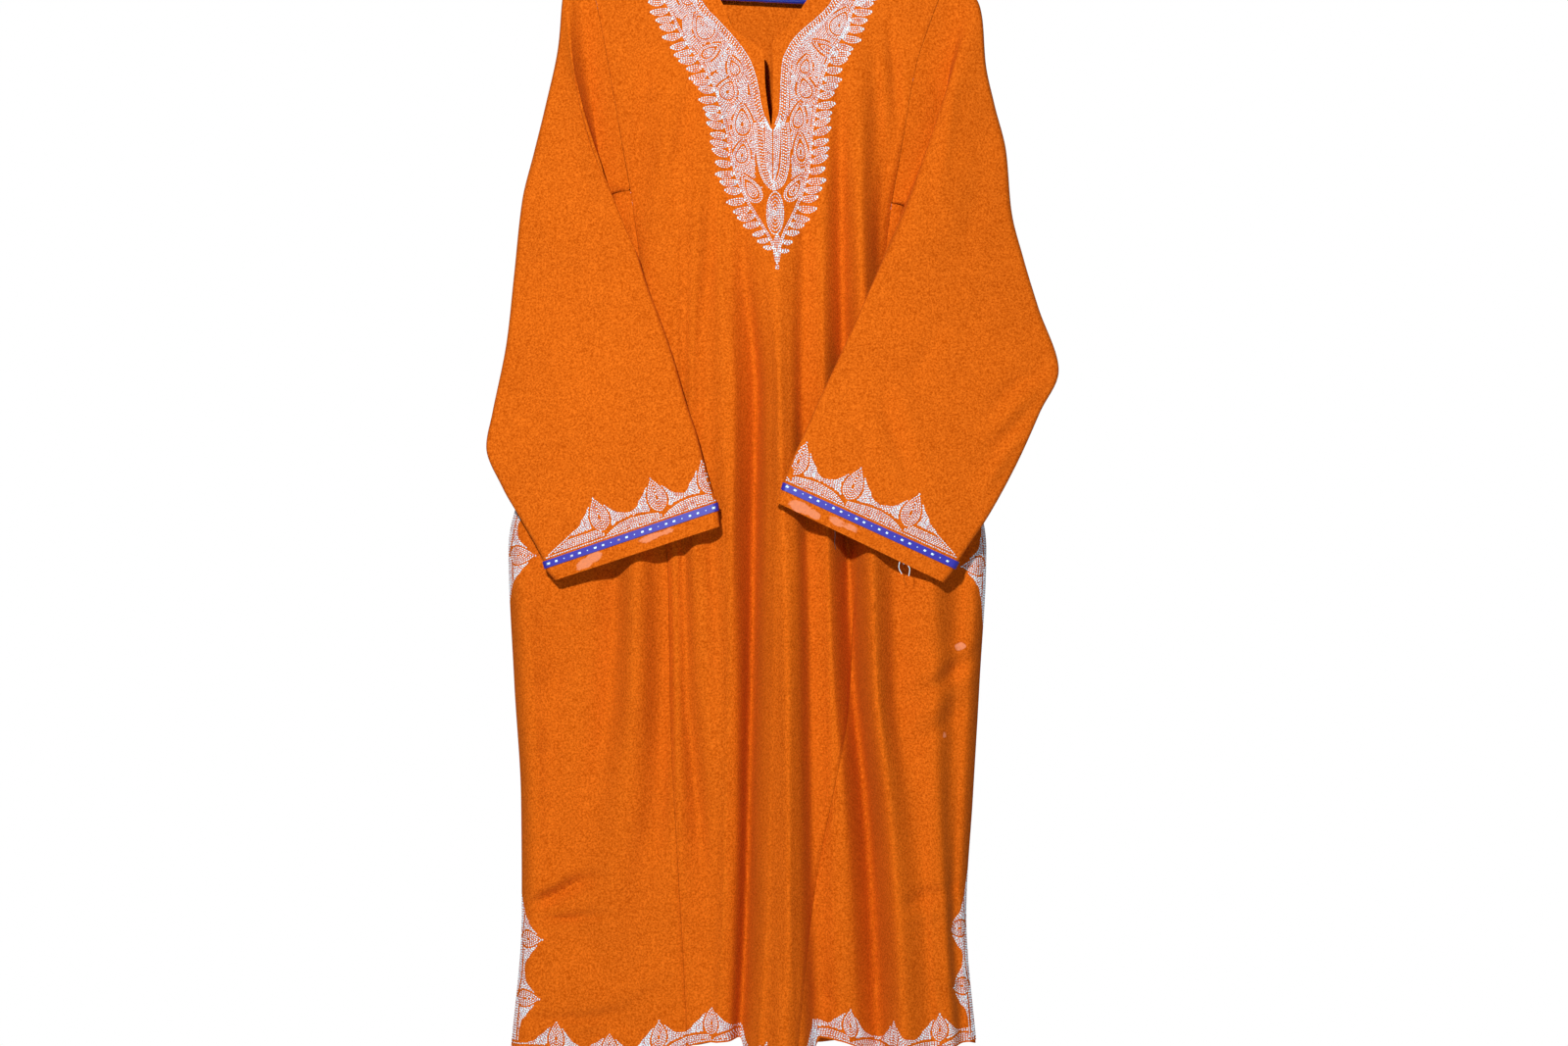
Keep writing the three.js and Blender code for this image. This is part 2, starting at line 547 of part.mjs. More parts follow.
function sectionRing(row, lift) {
  const length = Math.hypot(row.inner[0] - row.outer[0], row.inner[1] - row.outer[1]);
  const across = [-(row.inner[1] - row.outer[1]) / length, (row.inner[0] - row.outer[0]) / length];
  const points = [];
  for (let k = 0; k < RING_POINTS; k += 1) {
    const t = ringShare(k);
    const end = (distance, radius) => Math.sqrt(1 - Math.max(0, 1 - distance / radius) ** 2);
    const round = end(t * length, row.round[0]) * end((1 - t) * length, row.round[1]);
    const front = k <= RING_POINTS / 2;
    const swell = row.round[0] + (row.round[1] - row.round[0]) * t
      + (front ? row.bulge[0] : row.bulge[1]) * 4 * t * (1 - t);
    const bow = row.bow * Math.sin(Math.PI * t);
    const x = row.outer[0] + (row.inner[0] - row.outer[0]) * t + across[0] * bow;
    const drop = row.outer[1] + (row.inner[1] - row.outer[1]) * t + across[1] * bow;
    const y = row.y[0] + (row.y[1] - row.y[0]) * t + (front ? -1 : 1) * round * swell;
    points.push(new THREE.Vector3(x, y, -drop));
  }
  return points;
}

function sleeveRings(side) {
  const table = side < 0 ? SLEEVE_LEFT : SLEEVE_RIGHT;
  return [armholeRing(side), ...table.map((row) => sectionRing(row))];
}

// The wall turns in square to the armhole's own plane, so its end stays beside the body's.
function sleeveWall(side, rings, thickness) {
  const middle = new THREE.Vector3();
  rings[0].forEach((point) => middle.add(point));
  middle.divideScalar(rings[0].length);
  const ordered = side < 0 ? rings : rings.map((ring) => [...ring].reverse());
  const inward = (r, c) => {
    if (r > 0) return null;
    const ring = ordered[0];
    const before = ring[(c + ring.length - 1) % ring.length];
    const after = ring[(c + 1) % ring.length];
    const along = after.clone().sub(before);
    const turn = new THREE.Vector3(0, along.z, -along.y).normalize();
    const toMiddle = middle.clone().sub(ring[c]);
    return turn.dot(toMiddle) < 0 ? turn.negate() : turn;
  };
  return wallFromGrid(ordered, thickness, true, inward);
}

const leftRings = sleeveRings(-1);
const rightRings = sleeveRings(1);

// A cuff tape lies on the sleeve between two of its sections, made from their points moved out.
function tapeBand(side, rings) {
  const ordered = side < 0 ? rings : rings.map((ring) => [...ring].reverse());
  const lifted = wallFromGrid(ordered, -(TAPE_LIFT + TAPE_THICKNESS), true);
  const half = lifted.attributes.position.count / 2;
  const width = RING_POINTS;
  const rows = TAPE_SECTIONS.map((r) => ordered[r].map((point, c) => (
    new THREE.Vector3().fromBufferAttribute(lifted.attributes.position, half + r * width + c)
  )));
  return wallFromGrid(rows, TAPE_THICKNESS, true);
}

// ---- hanger --------------------------------------------------------------------------------
// A round tube along a line of points, closed into a ring or capped at both ends.
function tube(points, radius, sides, closed) {
  const count = points.length;
  const rings = [];
  const depth = new THREE.Vector3(0, 1, 0);
  for (let i = 0; i < count; i += 1) {
    const before = points[closed ? (i + count - 1) % count : Math.max(0, i - 1)];
    const after = points[closed ? (i + 1) % count : Math.min(count - 1, i + 1)];
    const along = after.clone().sub(before).normalize();
    const across = new THREE.Vector3().crossVectors(along, depth).normalize();
    const ring = [];
    for (let k = 0; k < sides; k += 1) {
      const turn = (2 * Math.PI * k) / sides;
      ring.push(points[i].clone()
        .addScaledVector(across, radius * Math.cos(turn)).addScaledVector(depth, radius * Math.sin(turn)));
    }
    rings.push(ring);
  }
  const all = rings.flat();
  const index = [];
  const spans = closed ? count : count - 1;
  for (let i = 0; i < spans; i += 1) {
    const j = (i + 1) % count;
    for (let k = 0; k < sides; k += 1) {
      const m = (k + 1) % sides;
      index.push(i * sides + k, i * sides + m, j * sides + m);
      index.push(i * sides + k, j * sides + m, j * sides + k);
    }
  }
  if (!closed) {
    for (let k = 1; k < sides - 1; k += 1) {
      index.push(0, k + 1, k);
      const base = (count - 1) * sides;
      index.push(base, base + k, base + k + 1);
    }
  }
  return outwards(solid(all, index));
}

function outwards(geometry) {
  const p = geometry.attributes.position;
  const index = geometry.index.array;
  const corner = [0, 1, 2].map(() => new THREE.Vector3());
  let volume = 0;
  for (let i = 0; i < index.length; i += 3) {
    corner.forEach((v, k) => v.fromBufferAttribute(p, index[i + k]));
    volume += corner[0].dot(corner[1].clone().cross(corner[2]));
  }
  if (volume < 0) {
    for (let i = 0; i < index.length; i += 3) [index[i + 1], index[i + 2]] = [index[i + 2], index[i + 1]];
  }
  return geometry;
}

// A polygon's corners rounded to the given radii.
function rounded(corners, steps) {
  const points = [];
  corners.forEach((corner, i) => {
    const before = corners[(i + corners.length - 1) % corners.length];
    const after = corners[(i + 1) % corners.length];
    const back = before.at.clone().sub(corner.at).normalize();
    const on = after.at.clone().sub(corner.at).normalize();
    const half = back.angleTo(on) / 2;
    const reach = corner.radius / Math.tan(half);
    const start = corner.at.clone().addScaledVector(back, reach);
    const end = corner.at.clone().addScaledVector(on, reach);
    const curve = new THREE.QuadraticBezierCurve3(start, corner.at, end);
    points.push(...curve.getPoints(steps));
  });
  return points;
}

function hangerSolid() {
  const at = (x, drop) => new THREE.Vector3(x, 0, -drop);
  const frame = rounded([
    { at: at(0, APEX_DROP), radius: 12 },
    { at: at(TIP_X, TIP_DROP), radius: TIP_CORNER },
    { at: at(BAR_X, BAR_DROP), radius: TIP_CORNER },
    { at: at(-BAR_X, BAR_DROP), radius: TIP_CORNER },
    { at: at(-TIP_X, TIP_DROP), radius: TIP_CORNER },
  ], 6);
  const radius = HOOK_INNER_RADIUS + HOOK_RADIUS;
  const wire = [at(0, APEX_DROP + 1), at(0, 68), at(0, 60), at(3, 53), at(8, 46)];
  for (let angle = -52; angle <= 190; angle += 15) {
    const turn = THREE.MathUtils.degToRad(angle);
    wire.push(at(radius * Math.cos(turn), HOOK_INNER_RADIUS - radius * Math.sin(turn)));
  }
  const loop = toManifold(tube(frame, ARM_RADIUS, 12, true));
  return fromManifold(loop.add(toManifold(tube(wire, HOOK_RADIUS, 12, false))));
}

// ---- the pieces ----------------------------------------------------------------------------
function piece(name, geometry, look) {
  geometry.computeVertexNormals();
  const mesh = new THREE.Mesh(geometry, new THREE.MeshStandardMaterial(look));
  mesh.name = name;
  return mesh;
}

const garment = new THREE.Group();
garment.add(piece('front_panel', fromManifold(frontLayer.intersect(centre).subtract(frontNeck)), WOOL));
garment.add(piece('back_panel', fromManifold(backLayer.intersect(backCentre).subtract(backNeck)), WOOL));
const sideKnife = (side, table) => knife(sideOutline(side, table), -200, 200);
garment.add(piece('side_panel_front_left', fromManifold(frontLayer.intersect(sideKnife(-1, SEAM_LEFT))), WOOL));
garment.add(piece('side_panel_front_right', fromManifold(frontLayer.intersect(sideKnife(1, SEAM_RIGHT))), WOOL));
garment.add(piece('side_panel_back_left', fromManifold(backLayer.intersect(sideKnife(-1, BACK_SEAM_LEFT))), WOOL));
garment.add(piece('side_panel_back_right', fromManifold(backLayer.intersect(sideKnife(1, BACK_SEAM_RIGHT))), WOOL));
garment.add(piece('sleeve_left', sleeveWall(-1, leftRings, WALL), WOOL));
garment.add(piece('sleeve_right', sleeveWall(1, rightRings, WALL), WOOL));
garment.add(piece('cuff_tape_left', tapeBand(-1, leftRings), TAPE));
garment.add(piece('cuff_tape_right', tapeBand(1, rightRings), TAPE));

const hanger = new THREE.Group();
hanger.rotation.y = TURN;
hanger.add(piece('hanger', hangerSolid(), PLASTIC));

const pheran = new THREE.Group();
pheran.name = 'pheran_on_hanger';
pheran.add(garment);
pheran.add(hanger);

export default pheran;
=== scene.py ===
# %% [markdown]
# A pheran is a wide, straight-cut woollen tunic with long tapering sleeves, worked in
# silver thread at the neck, cuffs and hem. This one hangs on a tubular plastic hanger with
# its sleeves lying over the front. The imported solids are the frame: every panel here keeps
# the form of its solid and gets finer folds, a nap, its seams and its thread work.
#
# Cloth can be simulated, sculpted or worked out. Here it is worked out: the folds of a
# hanging garment are long lines, so a short table of lines holds all of them, and every run
# gives the same garment. Lengths are in millimetres until a mesh is made from them, and
# "drop" is how far a point lies below the inside of the hanger's hook.

# %% Load the frame
import math

import bpy
import json
import numpy as np
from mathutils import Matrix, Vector
from mathutils.bvhtree import BVHTree

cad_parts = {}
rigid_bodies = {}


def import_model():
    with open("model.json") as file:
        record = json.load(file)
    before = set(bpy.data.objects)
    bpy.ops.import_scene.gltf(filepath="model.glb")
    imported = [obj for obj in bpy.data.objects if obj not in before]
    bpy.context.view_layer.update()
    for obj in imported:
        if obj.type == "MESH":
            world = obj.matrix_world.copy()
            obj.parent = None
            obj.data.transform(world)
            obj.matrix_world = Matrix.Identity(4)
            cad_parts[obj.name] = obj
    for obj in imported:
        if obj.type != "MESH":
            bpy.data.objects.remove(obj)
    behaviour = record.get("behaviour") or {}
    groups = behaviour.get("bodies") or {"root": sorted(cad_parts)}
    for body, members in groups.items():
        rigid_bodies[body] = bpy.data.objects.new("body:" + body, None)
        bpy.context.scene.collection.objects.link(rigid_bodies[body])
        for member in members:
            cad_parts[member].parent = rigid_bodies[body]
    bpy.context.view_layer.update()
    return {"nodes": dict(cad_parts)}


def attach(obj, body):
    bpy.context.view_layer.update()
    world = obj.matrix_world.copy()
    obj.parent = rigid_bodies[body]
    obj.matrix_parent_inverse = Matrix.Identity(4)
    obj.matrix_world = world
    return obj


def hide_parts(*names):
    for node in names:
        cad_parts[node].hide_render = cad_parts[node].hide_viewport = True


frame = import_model()
MM = 0.001
rng = np.random.default_rng(7)
print("frame nodes:", sorted(frame["nodes"]))

# %% [markdown]
# The camera looks straight at the front from a little over two and a half metres. A longer
# lens from further back would flatten the garment more, and a wide one would bulge it. A
# Blender camera looks down its own -Z axis, so a quarter turn about X stands it upright.

# %% Camera
scene = bpy.context.scene
scene.view_settings.view_transform = "Standard"
camera_data = bpy.data.cameras.new("camera")
camera_data.lens = 58.5
camera_data.sensor_width = 36.0
camera_data.clip_end = 50.0
camera = bpy.data.objects.new("camera", camera_data)
camera.location = (0.003, -2.645, -0.7155)
camera.rotation_euler = (math.pi / 2, 0.0, 0.0)
scene.collection.objects.link(camera)
scene.camera = camera
print("camera at", tuple(round(v, 3) for v in camera.location), "lens", camera_data.lens)

# %% [markdown]
# One small, strong key light from the upper left draws the folds: the smaller the lamp, the
# crisper the shade beside a ridge. A weak fill keeps the valleys open, and a broad lamp
# behind lights the edges. Area lights were chosen because their size is a real length.

# %% Lights
def area_light(name, place, aim, size, power):
    data = bpy.data.lights.new(name, "AREA")
    data.shape = "DISK"
    data.size = size
    data.energy = power
    lamp = bpy.data.objects.new(name, data)
    lamp.location = place
    lamp.rotation_euler = (Vector(aim) - Vector(place)).to_track_quat("-Z", "Y").to_euler()
    scene.collection.objects.link(lamp)


MIDDLE = (0.0, 0.0, -0.7)
area_light("key", (-0.46, -2.70, 0.40), MIDDLE, 0.14, 97.0)
area_light("fill", (1.9, -2.2, -0.6), MIDDLE, 1.2, 1.5)
area_light("back", (0.6, 2.4, 0.6), MIDDLE, 1.6, 48.0)

# %% [markdown]
# The surround is a dim white that reaches the cloth from every side. A light path node gives
# the camera's own rays a full white instead, so the background stays clean while the folds
# keep their shade.

# %% Surround and floor
SURROUND = 0.09
WHITE = (1.0, 1.0, 1.0, 1.0)
world = bpy.data.worlds.new("pale_surround")
world.use_nodes = True
scene.world = world
sky = world.node_tree
sky.nodes["Background"].inputs["Color"].default_value = WHITE
sky.nodes["Background"].inputs["Strength"].default_value = SURROUND
seen = sky.nodes.new("ShaderNodeBackground")
seen.inputs["Color"].default_value = WHITE
pick = sky.nodes.new("ShaderNodeMixShader")
path = sky.nodes.new("ShaderNodeLightPath")
sky.links.new(path.outputs["Is Camera Ray"], pick.inputs[0])
sky.links.new(sky.nodes["Background"].outputs[0], pick.inputs[1])
sky.links.new(seen.outputs[0], pick.inputs[2])
sky.links.new(pick.outputs[0], sky.nodes["World Output"].inputs[0])

bpy.ops.object.select_all(action="DESELECT")
bpy.ops.mesh.primitive_plane_add(size=4.4, location=(0.0, 0.0, -1.75))
floor = bpy.context.object
floor.name = "floor"
floor_paint = bpy.data.materials.new("pale_floor")
floor_paint.use_nodes = True
floor_shader = floor_paint.node_tree.nodes["Principled BSDF"]
floor_shader.inputs["Base Color"].default_value = (0.86, 0.86, 0.85, 1.0)
floor_shader.inputs["Roughness"].default_value = 0.8
floor.data.materials.append(floor_paint)
print("floor at", round(floor.location.z, 3), "m")

# %% [markdown]
# A hanging cloth is described by its fold lines. Each row of the table is one line that runs
# down the garment, with its place across (x) and its depth (y) at the drops in LEVELS, and
# how sharply the cloth turns there: 0 is a round ridge and about 1 a creased valley. A cloth
# simulation would find its own folds, and these have to lie where this garment has them.

# %% The front's fold lines
LEVELS = np.array([182, 302, 422, 582, 742, 882, 1002, 1122, 1262], float)
FRONT_FOLDS = [
    # name, crease, x at each level, y at each level
    ("edge_left", 3, [-205, -185, -174, -223, -283, -277, -270, -269, -280],
     [-0.15, -0.15, -0.15, -0.15, -0.15, -0.15, -0.15, -3, -6]),
    ("round_left", 0.3, [-193, -171, -163, -205, -261, -256, -250, -249, -259],
     [-10, -13, -7, -14, -19, -22, -22, -22, -20]),
    ("valley_side", 0.5, [-147, -137, -152, -171, -171, -176, -198, -223, -249],
     [-12, -17, -15, -18, -20, -19, -23, -28, -26]),
    ("ridge_side", 0, [-129, -117, -123, -141, -147, -149, -157, -169, -211],
     [-12, -24, -28, -29, -38, -40, -39, -37, -33]),
    ("valley_seam", 0.9, [-117, -110, -113, -121, -118, -117, -122, -149, -193],
     [-12, -24, -30, -31, -29, -27, -33, -37, -31]),
    ("ridge_seam", 0, [-110, -105, -106, -110, -109, -107, -103, -107, -117],
     [-12, -24, -31, -33, -36, -36, -39, -41, -39]),
    ("valley_outer", 1.0, [-103, -98, -99, -100, -99, -97, -87, -75, -75],
     [-12, -24, -27, -28, -27, -26, -30, -39, -41]),
    ("ridge_outer", 0, [-91, -87, -87, -92, -86, -80, -70, -65, -66],
     [-12, -24, -34, -37, -42, -41, -41, -42, -42]),
    ("valley_upper", 0.8, [-81, -76, -75, -84, -73, -59, -55, -56, -58],
     [-12, -25, -28, -33, -38, -42, -44, -44, -43]),
    ("ridge_inner", 0, [-59, -55, -59, -53, -50, -44, -44, -47, -52],
     [-12, -26, -35, -43, -46, -46, -46, -45, -43]),
    ("valley_left", 1.1, [-32, -32, -40, -25, -28, -31, -34, -37, -45],
     [-12, -26, -31, -25, -20, -20, -20, -20, -22]),
    ("tube_left", 0, [-19, -19, -22, -14, -14, -14, -16, -18, -22],
     [-12, -27, -39, -47, -50, -54, -55, -55, -53]),
    ("tube", 0, [-7, -7, -7, 0, 4, 7, 7, 6, 3],
     [-12, -28, -44, -57, -63, -72, -74, -74, -70]),
    ("tube_right", 0, [13, 13, 10, 11, 16, 18, 19, 20, 21],
     [-12, -27, -41, -53, -59, -65, -67, -66, -58]),
    ("valley_tube", 1.0, [29, 30, 24, 20, 26, 28, 30, 32, 37],
     [-12, -25, -34, -41, -43, -45, -45, -42, -30]),
    ("ridge_right", 0, [47, 47, 42, 42, 47, 52, 59, 63, 67],
     [-12, -28, -38, -44, -46, -46, -46, -44, -35]),
    ("valley_right", 1.2, [61, 61, 63, 66, 70, 76, 88, 96, 102],
     [-12, -22, -22, -20, -18, -18, -18, -18, -18]),
    ("ridge_main", 0, [77, 77, 80, 85, 91, 95, 109, 120, 128],
     [-12, -28, -38, -46, -53, -58, -58, -56, -50]),
    ("valley_far", 1, [95, 96, 94, 106, 115, 117, 133, 148, 155],
     [-12, -21, -25, -34, -42, -42, -48, -46, -41]),
    ("ridge_far", 0, [129, 117, 103, 131, 148, 153, 159, 168, 177],
     [-12, -16, -14, -32, -43, -45, -45, -43, -37]),
    ("round_right", 0.3, [163, 134, 115, 147, 192, 185, 179, 176, 187],
     [-10, -13, -6, -15, -22, -24, -24, -22, -18]),
    ("edge_right", 3, [176, 149, 126, 164, 213, 206, 199, 192, 203],
     [-0.15, -0.15, -0.15, -0.15, -0.15, -0.15, -0.15, -3, -6]),
]
print("front:", len(FRONT_FOLDS), "fold lines at", len(LEVELS), "levels")

# %% The back's fold lines
BACK_FOLDS = [
    # name, crease, x at each level, y at each level
    ("edge_left", 3, [-205, -185, -174, -223, -283, -277, -270, -269, -280],
     [0.15, 0.15, 0.15, 0.15, 0.15, 0.15, 0.15, 3, 7]),
    ("round_left", 0.3, [-193, -171, -163, -203, -259, -252, -245, -244, -254],
     [10, 13, 10, 14, 17, 19, 20, 20, 19]),
    ("valley_side", 0.6, [-137, -133, -133, -157, -177, -181, -197, -207, -217],
     [11, 13, 13, 14, 15, 15, 15, 16, 17]),
    ("ridge_side", 0, [-107, -101, -101, -113, -125, -129, -141, -149, -157],
     [12, 17, 21, 25, 28, 30, 31, 31, 30]),
    ("valley_left", 1, [-67, -65, -65, -69, -73, -75, -79, -83, -87],
     [12, 13, 14, 14, 14, 14, 14, 15, 17]),
    ("ridge_middle", 0, [-12, -15, -17, -21, -25, -27, -29, -31, -33],
     [12, 17, 22, 27, 30, 32, 33, 33, 32]),
    ("valley_right", 1.2, [31, 33, 31, 31, 33, 35, 37, 39, 41],
     [12, 13, 13, 14, 14, 14, 14, 15, 17]),
    ("ridge_right", 0, [71, 71, 71, 81, 87, 93, 97, 101, 105],
     [12, 17, 20, 25, 28, 29, 30, 30, 29]),
    ("valley_far", 0.6, [118, 103, 95, 119, 141, 141, 141, 141, 147],
     [11, 13, 13, 14, 15, 15, 15, 16, 17]),
    ("round_right", 0.3, [163, 134, 114, 145, 190, 181, 173, 167, 178],
     [10, 13, 10, 14, 17, 19, 20, 20, 19]),
    ("edge_right", 3, [176, 149, 126, 164, 213, 206, 199, 192, 203],
     [0.15, 0.15, 0.15, 0.15, 0.15, 0.15, 0.15, 3, 7]),
]
print("back:", len(BACK_FOLDS), "fold lines")

# %% [markdown]
# A maker cuts a pheran from straight pieces: one panel in front, one behind, and a gore on
# each side under the sleeve. The seams, the neck's opening and the hem are therefore lines
# of their own, each a list of drops and a list of places across.

# %% Hem, seams and neck
HEM_X = [-285, -231, -176, -125, -71, -42, -36, -15, 10, 32, 38, 59, 105, 162, 205]
HEM_FRONT = [1267, 1264, 1275, 1261, 1246, 1245, 1262, 1279, 1279, 1262, 1244, 1246, 1261, 1253,
             1250]
HEM_BACK = [1262, 1263, 1266, 1264, 1258, 1255, 1255, 1257, 1258, 1258, 1257, 1256, 1258, 1258,
            1256]

SEAM_LEFT = ([120, 158, 190, 218, 253, 288, 325, 371, 398, 441, 602, 782, 912, 1075, 1203, 1300],
             [-202, -195, -188.5, -183, -176.7, -170.5, -164.2, -156, -152, -146, -130, -116,
              -114, -105, -98, -94])
SEAM_RIGHT = ([130, 163, 182, 210, 237, 262, 285, 307, 353, 384, 437, 632, 802, 904, 982, 1081,
               1242, 1300],
              [179, 167, 160, 150, 141, 135.5, 131.5, 128, 120, 114.5, 108, 90, 75, 70, 55, 36,
               18, 12])
BACK_SEAM_LEFT = ([120, 158, 288, 371, 1300], [-202, -195, -170.5, -156, -104])
BACK_SEAM_RIGHT = ([130, 163, 262, 384, 1300], [179, 167, 135.5, 114.5, 100])

NECK_LEFT = ([100, 132, 150, 166, 182, 204, 210, 215, 221, 227, 235, 262, 285, 309],
             [-98, -92, -80, -68, -59, -50, -44, -37, -28, -20, -17.5, -16.5, -14, -10.4])
NECK_RIGHT = ([100, 122, 134, 150, 166, 182, 197, 203, 209, 214, 219, 240, 262, 285, 309],
              [84, 78, 63, 46, 33, 22, 13, 7, 1, -4, -9, -8.6, -8.4, -8.6, -9.6])
BACK_NECK = ([-98, -90, -72, -40, 0, 40, 58, 76, 84],
             [116, 124, 130, 132, 132, 132, 132, 126, 124])
# The thread work keeps a plain margin away from the opening; its own inner line:
BAND_LEFT = ([113, 142, 167, 182, 197, 220, 237, 253, 266, 285, 299, 309],
             [-107, -97, -85, -76, -62, -42, -31, -25, -22, -19, -15, -10.4])
BAND_RIGHT = ([121, 137, 157, 182, 194, 211, 224, 239, 262, 289, 301, 309],
              [91, 78, 63, 46, 34, 15, 6, 0, -2, -3, -6, -9.6])
SLIT_FOOT = 309.0
print("the hem lies", min(HEM_FRONT), "to", max(HEM_FRONT), "mm down")

# %% [markdown]
# A monotone cubic carries each line smoothly from one drop to the next. A plain cubic spline
# would be simpler, but it swings past the places that it was given, and two fold lines that
# lie close together would then cross.

# %% Smooth lines through a table
def slopes(a, b):
    rise = np.diff(b, axis=0) / np.diff(a).reshape((-1,) + (1,) * (b.ndim - 1))
    inner = np.where(rise[:-1] * rise[1:] <= 0, 0.0,
                     2 * rise[:-1] * rise[1:] / (rise[:-1] + rise[1:] + 1e-12))
    return np.concatenate([rise[:1], inner, rise[-1:]])


def smooth(a, b, at):
    a = np.asarray(a, float)
    b = np.asarray(b, float)
    at = np.clip(np.asarray(at, float), a[0], a[-1])
    i = np.clip(np.searchsorted(a, at, side="right") - 1, 0, len(a) - 2)
    m = slopes(a, b)
    h = a[i + 1] - a[i]
    t = (at - a[i]) / h
    if b.ndim > 1:
        h = h.reshape(h.shape + (1,) * (b.ndim - 1))
        t = t.reshape(t.shape + (1,) * (b.ndim - 1))
    even = 3 * t * t - 2 * t ** 3
    return (b[i] * (1 - even) + b[i + 1] * even
            + h * m[i] * t * (1 - t) ** 2 + h * m[i + 1] * t * t * (t - 1))


print("hem at the middle:", round(float(smooth(HEM_X, HEM_FRONT, 0.0)), 1), "mm down")

# %% [markdown]
# Between two fold lines the cloth follows one smooth rise, level at a round ridge and steep
# at a creased valley. The front and the back are one such layer each, and they meet at the
# body's folded edges.

# %% The two draped layers
class Layer:
    """One draped layer, front or back: its fold lines as smooth tables."""

    def __init__(self, folds, hem, side):
        self.crease = np.array([row[1] for row in folds], float)
        self.x = np.array([row[2] for row in folds], float).T
        self.y = np.array([row[3] for row in folds], float).T
        self.hem = hem
        self.side = side

    def lines(self, drop):
        return smooth(LEVELS, self.x, drop), smooth(LEVELS, self.y, drop)

    def depth(self, x, drop):
        """The depth of the cloth at places across and down, arrays of one shape."""
        shape = x.shape
        x, drop = x.ravel(), np.broadcast_to(drop, shape).ravel()
        lx, ly = self.lines(drop)
        i = np.clip((lx <= x[:, None]).sum(axis=1) - 1, 0, lx.shape[1] - 2)
        k = np.arange(len(x))
        t = np.clip((x - lx[k, i]) / (lx[k, i + 1] - lx[k, i]), 0, 1)
        rise = (3 * t * t - 2 * t ** 3 + self.crease[i] * t * (1 - t) ** 2
                + self.crease[i + 1] * t * t * (t - 1))
        return (ly[k, i] + (ly[k, i + 1] - ly[k, i]) * rise).reshape(shape)

    def edge(self, which, drop):
        """The place across of the first (0) or the last (-1) fold line."""
        return self.lines(drop)[0][..., which]


front = Layer(FRONT_FOLDS, HEM_FRONT, -1)
back = Layer(BACK_FOLDS, HEM_BACK, 1)
print("deepest fold:", front.y.min(), "mm in front,", back.y.max(), "mm behind")

# %% [markdown]
# The hanger's arms slope down from an apex under the hook, and the whole hanger hangs a
# little askew. The shoulders lie over the arms, so the first rows of cloth wrap one, and the
# cloth has to know where an arm is before it can be draped.

# %% The arms under the shoulders
TURN = math.radians(2.9)
APEX_DROP, TIP_X, TIP_DROP = 80.0, 207.0, 170.0
SHOULDER_RADIUS = 6.9


def turned(x, drop):
    return x * math.cos(TURN) - drop * math.sin(TURN), x * math.sin(TURN) + drop * math.cos(TURN)


APEX, LEFT_TIP, RIGHT_TIP = turned(0, APEX_DROP), turned(-TIP_X, TIP_DROP), turned(TIP_X, TIP_DROP)


def arm(x):
    """The drop of the arm's centre line at x, and how much its slope stretches a round."""
    x = np.asarray(x, float)
    rate = np.where(x < APEX[0], (LEFT_TIP[1] - APEX[1]) / (LEFT_TIP[0] - APEX[0]),
                    (RIGHT_TIP[1] - APEX[1]) / (RIGHT_TIP[0] - APEX[0]))
    return APEX[1] + (x - APEX[0]) * rate, np.hypot(1, rate)


print("arm tips:", np.round(LEFT_TIP, 1), np.round(RIGHT_TIP, 1))
